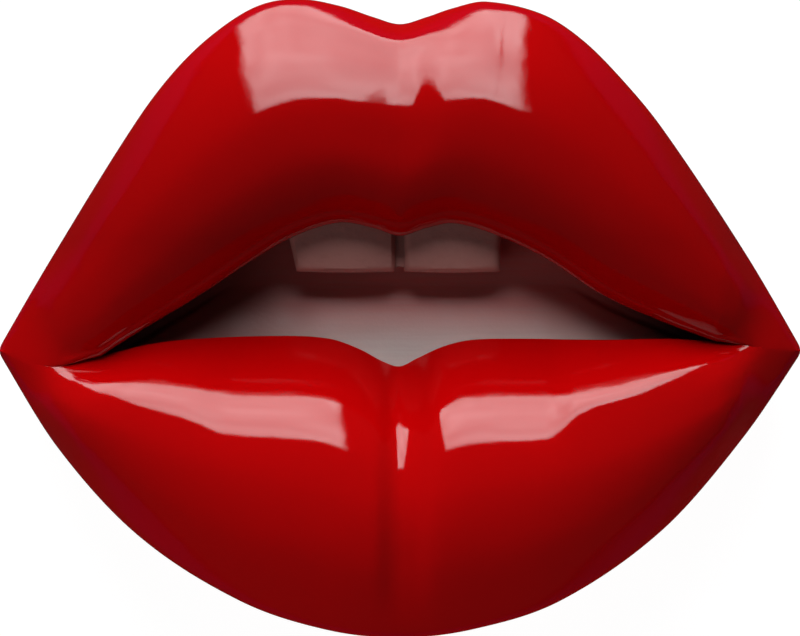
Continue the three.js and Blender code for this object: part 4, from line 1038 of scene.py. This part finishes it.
# a flat mark drawn as bars along paths, in the reader's own x and y
def strokeShape(paths, width, x, y, form=keyForm):
    bodies = []
    low, high = form["tip"] + 0.06, form["tip"] + 0.06 + form["markDepth"]
    for path in paths:
        points = np.array(path, float)
        ahead = np.roll(points, -1, 0) - points
        ahead[-1] = ahead[-2]
        behind = np.vstack([ahead[:1], ahead[:-1]])
        along = ahead / np.linalg.norm(ahead, axis=1)[:, None] + behind / np.linalg.norm(behind, axis=1)[:, None]
        along /= np.linalg.norm(along, axis=1)[:, None]
        side = np.stack([-along[:, 1], along[:, 0]], 1) * width / 2
        outline = np.concatenate([points + side, (points - side)[::-1]])
        flat = [(x - v, y - u) for u, v in outline]
        bodies.append(ringsBody([[(px, py, z) for px, py in flat] for z in (low, high)], closed=False))
        count, half = len(flat), len(points)
        verts, faces = bodies[-1]
        for start in (0, count):
            faces += [(start + i, start + i + 1, start + count - 2 - i, start + count - 1 - i)
                      for i in range(half - 1)]
    return mergeBodies(bodies)


def arc(radius, start, end, count=22):
    angles = np.radians(np.linspace(start, end, count))
    return [(radius * math.cos(a), radius * math.sin(a)) for a in angles]


symbolPaths = dict(
    key_flash=[[(-0.2, 2.6), (-1.5, -0.1), (0.2, -0.1)], [(-0.2, 0.15), (1.5, 0.15), (-0.3, -2.6)]],
    key_mute=[arc(2.3, 0, 340), [(-1.5, -1.5), (1.5, 1.5)]],
    key_redial=[arc(2.2, -40, 235), [(0.5, -1.2), (1.8, -1.5), (2.6, -0.4)]])


def makeKeys():
    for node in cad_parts:
        if not node.startswith("key_"):
            continue
        x, y, _ = nodeCentre(node)
        red = node in symbolPaths
        cap = makePiece(node + "_cap", *keyBody(x, y), "keyRed" if red else "keyWhite", sharp=50)
        settle(cap, node, "key_red" if red else "key_white", node)
        if red:
            mark = makePiece(node + "_mark", *strokeShape(symbolPaths[node], 0.75, x, y), "inkPale", sharp=40)
            settle(mark, node, "key_white")
        else:
            mark = linkPiece(node + "_mark", glyph(node + "_mark", keyMarks[node], x, y), "inkDark", sharp=40)
            settle(mark, node, "part_black")


def makeBezel(form=bezelForm, key=keyForm):
    low, high = nodeBox("keypad_bezel")
    x, y = (low + high)[:2] / 2
    halfX, halfY = (high - low)[:2] / 2
    inner = (halfX - form["lap"] - 0.3, halfY - form["lap"] - 0.3)
    plate = stackedRects([(halfX, halfY, 6.0, form["low"]), (halfX, halfY, 6.0, form["high"])], x, y, 10)
    lip = [(inner[0] - form["lip"], inner[1] - form["lip"], 3.5, form["low"] + 0.4),
           (inner[0] - form["lip"], inner[1] - form["lip"], 3.5, form["lipLow"] + 0.3),
           (inner[0] - form["lip"] + 0.3, inner[1] - form["lip"] + 0.3, 3.8, form["lipLow"]),
           (inner[0] - 0.3, inner[1] - 0.3, 4.4, form["lipLow"]), (inner[0], inner[1], 4.7, form["lipLow"] + 0.3),
           (inner[0], inner[1], 4.7, form["low"] + 0.4)]
    verts, faces = stackedRects(lip, x, y, 10)
    faces = faces[:-2]
    count = len(verts) // len(lip)
    faces += [((len(lip) - 1) * count + i, (len(lip) - 1) * count + (i + 1) % count, (i + 1) % count, i)
              for i in range(count)]
    windows = []
    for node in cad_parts:
        if node.startswith("key_"):
            keyX, keyY, _ = nodeCentre(node)
            windows.append(stackedRects([
                (key["halfX"] + form["clear"] + more, key["halfY"] + form["clear"] + more, 2.0 + more, z)
                for more, z in ((form["chamfer"] + 1, form["low"] - 1), (form["chamfer"], form["low"]),
                                (0, form["low"] + form["chamfer"]), (0, form["high"] + 1))], keyX, keyY, 6))
    ribs = []
    keyXs = sorted({round(float(nodeCentre(n)[0]), 3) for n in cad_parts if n.startswith("key_")})
    keyYs = sorted({round(float(nodeCentre(n)[1]), 3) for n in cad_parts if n.startswith("key_")})
    for a, b in zip(keyXs, keyXs[1:]):  # raised ribs between the columns of keys
        for keyY in keyYs:
            ribs.append(stackedRects([(form["ribHalf"], key["halfY"] - 1.2, 0.3, z)
                                      for z in (form["low"] - form["ribRise"], form["low"] + 0.3)],
                                     (a + b) / 2, keyY, 4))
    bezel = combine("key_bezel", plate, [(verts, faces)] + ribs, windows, "bezelBlack", sharp=32)
    settle(bezel, "case", "bezel_black", "keypad_bezel")


makeKeys()
makeBezel()
print("keypad made")


# ---- feet, screws, plunger, switches and the line jack

footForm = dict(grooves=4, grooveWidth=0.55, grooveDepth=0.45, edge=0.7, sides=72)
screwForm = dict(recess=0.62, blade=0.36, depth=0.55, dome=0.35, sides=40)


def makeFeet(form=footForm):
    for i in (1, 2, 3, 4):
        node = f"rubber_foot_{i}"
        low, high = nodeBox(node)
        x, y = (low + high)[:2] / 2
        radius = (high[0] - low[0]) / 2
        profile = [(0.9, form["grooveDepth"]), (1.1, 0.0)]
        pitch = (radius - 2.2) / form["grooves"]
        for k in range(1, form["grooves"] + 1):
            r = 1.1 + pitch * k
            profile += [(r - form["grooveWidth"], 0), (r - form["grooveWidth"] + 0.08, form["grooveDepth"]),
                        (r - 0.08, form["grooveDepth"]), (r, 0)]
        profile += [(radius - form["edge"], 0)]
        profile += [(radius - form["edge"] * (1 - math.sin(a)), form["edge"] * (1 - math.cos(a)))
                    for a in np.linspace(0, math.pi / 2, 7)[1:]]
        profile += [(radius, high[2] - 0.2), (radius - 0.2, high[2])]
        foot = makePiece(f"foot_pad_{i}", *lathe(profile, x, y, form["sides"]), "footRubber", sharp=40)
        settle(foot, "case", "foot_rubber", node)


def makeScrews(form=screwForm):
    for family, count, headDepth in (("case_screw", 4, 2.0), ("liner_screw", 4, 1.6)):
        for i in range(1, count + 1):
            node = f"{family}_{i}"
            low, high = nodeBox(node)
            x, y = (low + high)[:2] / 2
            head = (high[0] - low[0]) / 2
            thread = head * 0.5
            base = low[2]
            dome = form["dome"]
            profile = [(head * 0.3, base), (head * 0.62, base + 0.05), (head * 0.85, base + dome * 0.5),
                       (head * 0.97, base + dome), (head, base + dome + 0.25), (head, base + headDepth)]
            z = base + headDepth
            profile += [(thread, z)]
            while z < high[2] - 1.2:  # thread turns, as a stack of ridges
                profile += [(thread * 0.82, z + 0.15), (thread, z + 0.45)]
                z += 0.75
            profile += [(thread * 0.35, high[2])]
            arm = head * form["recess"]
            deep = base + form["depth"] * headDepth
            slots = [boxBody(x - a, x + a, y - b, y + b, base - 1, deep)
                     for a, b in ((arm, form["blade"]), (form["blade"], arm))]
            body = takeBody(combine(node + "_cut", lathe(profile, x, y, form["sides"]), (), slots[:1]))
            screw = combine(node + "_fine", body, (), slots[1:], "brightSteel", sharp=35)
            settle(screw, "case", "bright_steel", node)


plungerForm = dict(radius=4.0, dome=1.4, collarLow=9.3, collarHigh=10.8, edge=0.3, pin=2.0)


def makePlunger(form=plungerForm):
    low, high = nodeBox("hook_plunger")
    x, y = (low + high)[:2] / 2
    collar, edge = (high[0] - low[0]) / 2, form["edge"]
    profile = [(form["radius"] * math.sin(a), form["dome"] * (1 - math.cos(a)))
               for a in np.linspace(0.12, math.pi / 2, 10)]
    profile += [(form["radius"], form["collarLow"]), (collar - edge, form["collarLow"]),
                (collar, form["collarLow"] + edge), (collar, form["collarHigh"] - edge),
                (collar - edge, form["collarHigh"]), (form["pin"], form["collarHigh"]),
                (form["pin"], high[2] - edge), (form["pin"] - edge, high[2])]
    plunger = makePiece("hook_button", *lathe(profile, x, y, 56), "keyWhite", sharp=40)
    settle(plunger, "hook_plunger", "key_white", "hook_plunger")


def makeKnobs(form=knobForm):
    for node in ("ringer_switch_knob", "dial_mode_knob"):
        low, high = nodeBox(node)
        lowX, highX = low[0] + form["flange"], high[0] - form["flange"]
        top, base = low[2], high[2] - form["flangeHeight"]
        outline = [(lowX, base), (lowX, top + form["shoulder"]), (lowX + form["edge"], top + 0.2)]
        pitch = (highX - lowX - 2 * form["edge"]) / form["ribs"]
        for k in range(form["ribs"]):  # each rib and the groove after it
            start = lowX + form["edge"] + pitch * k
            outline += [(start + pitch * share, top + fall) for share, fall in
                        ((0.15, 0), (0.45, 0), (0.6, form["ribDepth"]), (0.9, form["ribDepth"]))]
        outline += [(highX, top + form["shoulder"]), (highX, base)]
        sunk = [(x, z + (0.02 if z == base else 0)) for x, z in outline]  # its foot sits inside the flange
        grip = ringsBody([[(x, y, z) for x, z in sunk]
                          for y in (low[1] + form["flange"], high[1] - form["flange"])])
        knob = combine(node + "_fine", boxBody(low[0], high[0], low[1], high[1], base, high[2]), [grip], (),
                       "keyWhite", sharp=30)
        settle(knob, node, "key_white", node)


jackForm = dict(socketX=9.7, socketZ=6.9, socketDepth=12.0, drop=0.8, contacts=4, contactPitch=1.27, wire=0.2)


def makeJack(form=jackForm):
    low, high = nodeBox("line_jack")
    x, middle, face = (low[0] + high[0]) / 2, (low[2] + high[2]) / 2, high[1]
    socket = boxBody(x - form["socketX"] / 2, x + form["socketX"] / 2, face - form["socketDepth"], face + 1,
                     middle - form["socketZ"] / 2 - form["drop"], middle + form["socketZ"] / 2 - form["drop"])
    latch = boxBody(x - 3, x + 3, face - 9, face + 1, middle, middle + 4.6)
    keyway = boxBody(x - 1.4, x + 1.4, face - 9, face + 1, middle + 4.0, middle + 5.2)
    body = combine("jack_work", boxBody(low[0], high[0], low[1], high[1], low[2], high[2]), (), [socket])
    for cutter in (latch, keyway):
        body = combine("jack_shell", takeBody(body), (), [cutter], "jackPlastic", sharp=30)
    soften = body.modifiers.new("edges", "BEVEL")
    soften.width = 0.25 * mm
    soften.segments = 2
    soften.angle_limit = math.radians(40)
    settle(body, "case", "jack_plastic", "line_jack")
    wires = []
    for k in range(form["contacts"]):
        wireX = x + (k - (form["contacts"] - 1) / 2) * form["contactPitch"]
        bottom = middle - form["socketZ"] / 2 - form["drop"]
        path = [(face - 11.6, bottom + 0.35), (face - 10.6, bottom + 0.35), (face - 3.4, bottom + 2.7),
                (face - 2.6, bottom + 2.9), (face - 2.0, bottom + 2.6)]
        rings = [[(wireX + form["wire"] * math.cos(a), y, z + form["wire"] * math.sin(a))
                  for a in np.linspace(0, 2 * math.pi, 9)[:-1]] for y, z in path]
        wires.append(ringsBody(rings))
    contacts = makePiece("jack_contacts", *mergeBodies(wires), "goldPlate", sharp=50)
    settle(contacts, "case", "bright_steel")


makeFeet()
makeScrews()
makePlunger()
makeKnobs()
makeJack()
print("small parts made")


# ---- finishes of the CAD parts that stay

stayingFinish = {
    "keypad_membrane": "membraneRubber", "main_circuit_board": "board", "dialler_chip": "partBlack",
    "speech_transformer": "transformer", "capacitor_1": "partBlack", "capacitor_2": "partBlack",
    "receiver_capsule": "partBlack", "receiver_gasket": "foam", "receiver_retainer": "keyWhite",
    "microphone_capsule": "brightSteel", "microphone_boot": "footRubber", "ringer_disc": "partBlack",
    "hook_spring": "brightSteel", "hook_microswitch": "partBlack", "ringer_switch_housing": "brightSteel",
    "dial_mode_housing": "brightSteel", "ballast_plate": "brightSteel", "receiver_lead": "leadPlastic",
    "microphone_lead": "leadPlastic", "ringer_lead": "leadPlastic", "line_lead": "leadPlastic",
    "board_screw_1": "brightSteel", "board_screw_2": "brightSteel"}
for node, finish in stayingFinish.items():
    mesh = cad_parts[node].data
    if mesh.materials:
        for i in range(len(mesh.materials)):
            mesh.materials[i] = finishes[finish]
    else:
        mesh.materials.append(finishes[finish])


# ---- floor and light

lightSet = dict(
    key=dict(lift=58, distance=1.1, size=(2.0, 1.5), radiance=5.4, right=0.30, rightSlant=0.09,
             left=-0.52, slant=0.34, top=-0.80, bottom=0.55, soft=0.02),
    fill=dict(place=(-0.65, -0.95, 0.55), size=(1.6, 0.9), radiance=1.1),
    under=dict(place=(0.35, -0.5, -0.9), size=(1.3, 1.3), radiance=3.4),
    room=0.03, backdrop=0.9)


def areaLight(name, place, size, radiance, target=(0, 0, 0.03)):
    data = bpy.data.lights.new(name, "AREA")
    data.shape = "RECTANGLE"
    data.size, data.size_y = size
    data.energy = radiance * math.pi * size[0] * size[1]
    light = bpy.data.objects.new(name, data)
    bpy.context.scene.collection.objects.link(light)
    light.location = place
    light.rotation_euler = (Vector(target) - Vector(place)).to_track_quat("-Z", "Y").to_euler()
    return light


def shapeSoftbox(light, form):  # masks the lamp to a softbox with two leaning sides
    light.data.use_nodes = True
    tree = light.data.node_tree
    glow = next(node for node in tree.nodes if node.type == "EMISSION")
    split = tree.nodes.new("ShaderNodeSeparateXYZ")
    tree.links.new(tree.nodes.new("ShaderNodeNewGeometry").outputs["Parametric"], split.inputs["Vector"])
    width, depth = (side / form["distance"] for side in form["size"])
    across = mathOf(tree, "MULTIPLY", mathOf(tree, "SUBTRACT", 0.5, split.outputs["X"]), width)
    down = mathOf(tree, "MULTIPLY", mathOf(tree, "SUBTRACT", split.outputs["Y"], 0.5), depth)
    lean = mathOf(tree, "SUBTRACT", across, mathOf(tree, "MULTIPLY", down, form["slant"]))
    edges = [ramped(tree, lean, form["left"] - form["soft"], form["left"]),
             ramped(tree, mathOf(tree, "ADD", across, mathOf(tree, "MULTIPLY", down, form["rightSlant"])),
                    form["right"], form["right"] + form["soft"], 1.0, 0.0),
             ramped(tree, down, form["top"] - form["soft"], form["top"]),
             ramped(tree, down, form["bottom"], form["bottom"] + form["soft"], 1.0, 0.0)]
    mask = edges[0]
    for edge in edges[1:]:
        mask = mathOf(tree, "MULTIPLY", mask, edge)
    cloth = noiseAt(tree, tree.nodes.new("ShaderNodeNewGeometry").outputs["Parametric"], 3.5, 2.0)
    mask = mathOf(tree, "MULTIPLY", mask, ramped(tree, cloth, 0.3, 0.7, 0.8, 1.15))  # the cloth glows unevenly
    tree.links.new(mask, glow.inputs["Strength"])


def makeFloor():
    mesh = bpy.data.meshes.new("floor")
    mesh.from_pydata([(-4, -4, 0), (4, -4, 0), (4, 4, 0), (-4, 4, 0)], [], [(0, 1, 2, 3)])
    floor = bpy.data.objects.new("floor", mesh)
    bpy.context.scene.collection.objects.link(floor)
    material = bpy.data.materials.new("palePaper")
    material.use_nodes = True
    tree = material.node_tree
    tree.nodes.clear()
    paper, quiet = tree.nodes.new("ShaderNodeBsdfDiffuse"), tree.nodes.new("ShaderNodeBsdfDiffuse")
    paper.inputs["Color"].default_value = (0.12, 0.12, 0.12, 1)
    # what the gloss and the bounce see of the floor: dark under the lips as a painted shadow, and pale magenta
    # beyond them, which the lip edges show as a painted reflection streak
    reach = tree.nodes.new("ShaderNodeVectorMath")
    reach.operation = "LENGTH"
    tree.links.new(objectPlace(tree), reach.inputs[0])
    far = ramped(tree, reach.outputs["Value"], 0.17, 0.26)
    tree.links.new(mixColours(tree, far, (0.05, 0.045, 0.045, 1), (0.15, 0.04, 0.12, 1)), quiet.inputs["Color"])
    glow = tree.nodes.new("ShaderNodeEmission")
    glow.inputs["Strength"].default_value = 0.97
    seen, choose = tree.nodes.new("ShaderNodeAddShader"), tree.nodes.new("ShaderNodeMixShader")
    tree.links.new(paper.outputs[0], seen.inputs[0])
    tree.links.new(glow.outputs[0], seen.inputs[1])
    tree.links.new(tree.nodes.new("ShaderNodeLightPath").outputs["Is Camera Ray"], choose.inputs["Fac"])
    tree.links.new(quiet.outputs[0], choose.inputs[1])
    tree.links.new(seen.outputs[0], choose.inputs[2])
    # from beneath, and to the lamp that stands beneath, the paper isn't there
    gone, through = tree.nodes.new("ShaderNodeBsdfTransparent"), tree.nodes.new("ShaderNodeMixShader")
    absent = mathOf(tree, "MAXIMUM", tree.nodes.new("ShaderNodeNewGeometry").outputs["Backfacing"],
                    tree.nodes.new("ShaderNodeLightPath").outputs["Is Shadow Ray"])
    tree.links.new(absent, through.inputs["Fac"])
    tree.links.new(choose.outputs[0], through.inputs[1])
    tree.links.new(gone.outputs[0], through.inputs[2])
    tree.links.new(through.outputs[0], tree.nodes.new("ShaderNodeOutputMaterial").inputs["Surface"])
    mesh.materials.append(material)


def makeLight(form=lightSet):
    key = form["key"]
    lift = math.radians(key["lift"])
    softbox = areaLight("keySoftbox", (0.0, key["distance"] * math.sin(lift),
                                       key["distance"] * math.cos(lift)), key["size"], key["radiance"])
    shapeSoftbox(softbox, key)
    fill = areaLight("chinFill", form["fill"]["place"], form["fill"]["size"], form["fill"]["radiance"])
    fill.visible_glossy = False  # it lifts the shaded side without a second highlight
    areaLight("underLamp", form["under"]["place"], form["under"]["size"], form["under"]["radiance"])
    world = bpy.data.worlds.new("room")
    bpy.context.scene.world = world
    world.use_nodes = True
    tree = world.node_tree
    tree.nodes.clear()
    choose = tree.nodes.new("ShaderNodeMixShader")
    tree.links.new(tree.nodes.new("ShaderNodeLightPath").outputs["Is Camera Ray"], choose.inputs["Fac"])
    for socket, strength in ((1, form["room"]), (2, form["backdrop"])):
        air = tree.nodes.new("ShaderNodeBackground")
        air.inputs["Strength"].default_value = strength
        air.inputs["Color"].default_value = (1, 1, 1, 1)
        tree.links.new(air.outputs[0], choose.inputs[socket])
    tree.links.new(choose.outputs[0], tree.nodes.new("ShaderNodeOutputWorld").inputs["Surface"])
    bpy.context.scene.view_settings.view_transform = "Standard"


makeFloor()
makeLight()
print("floor and light set")
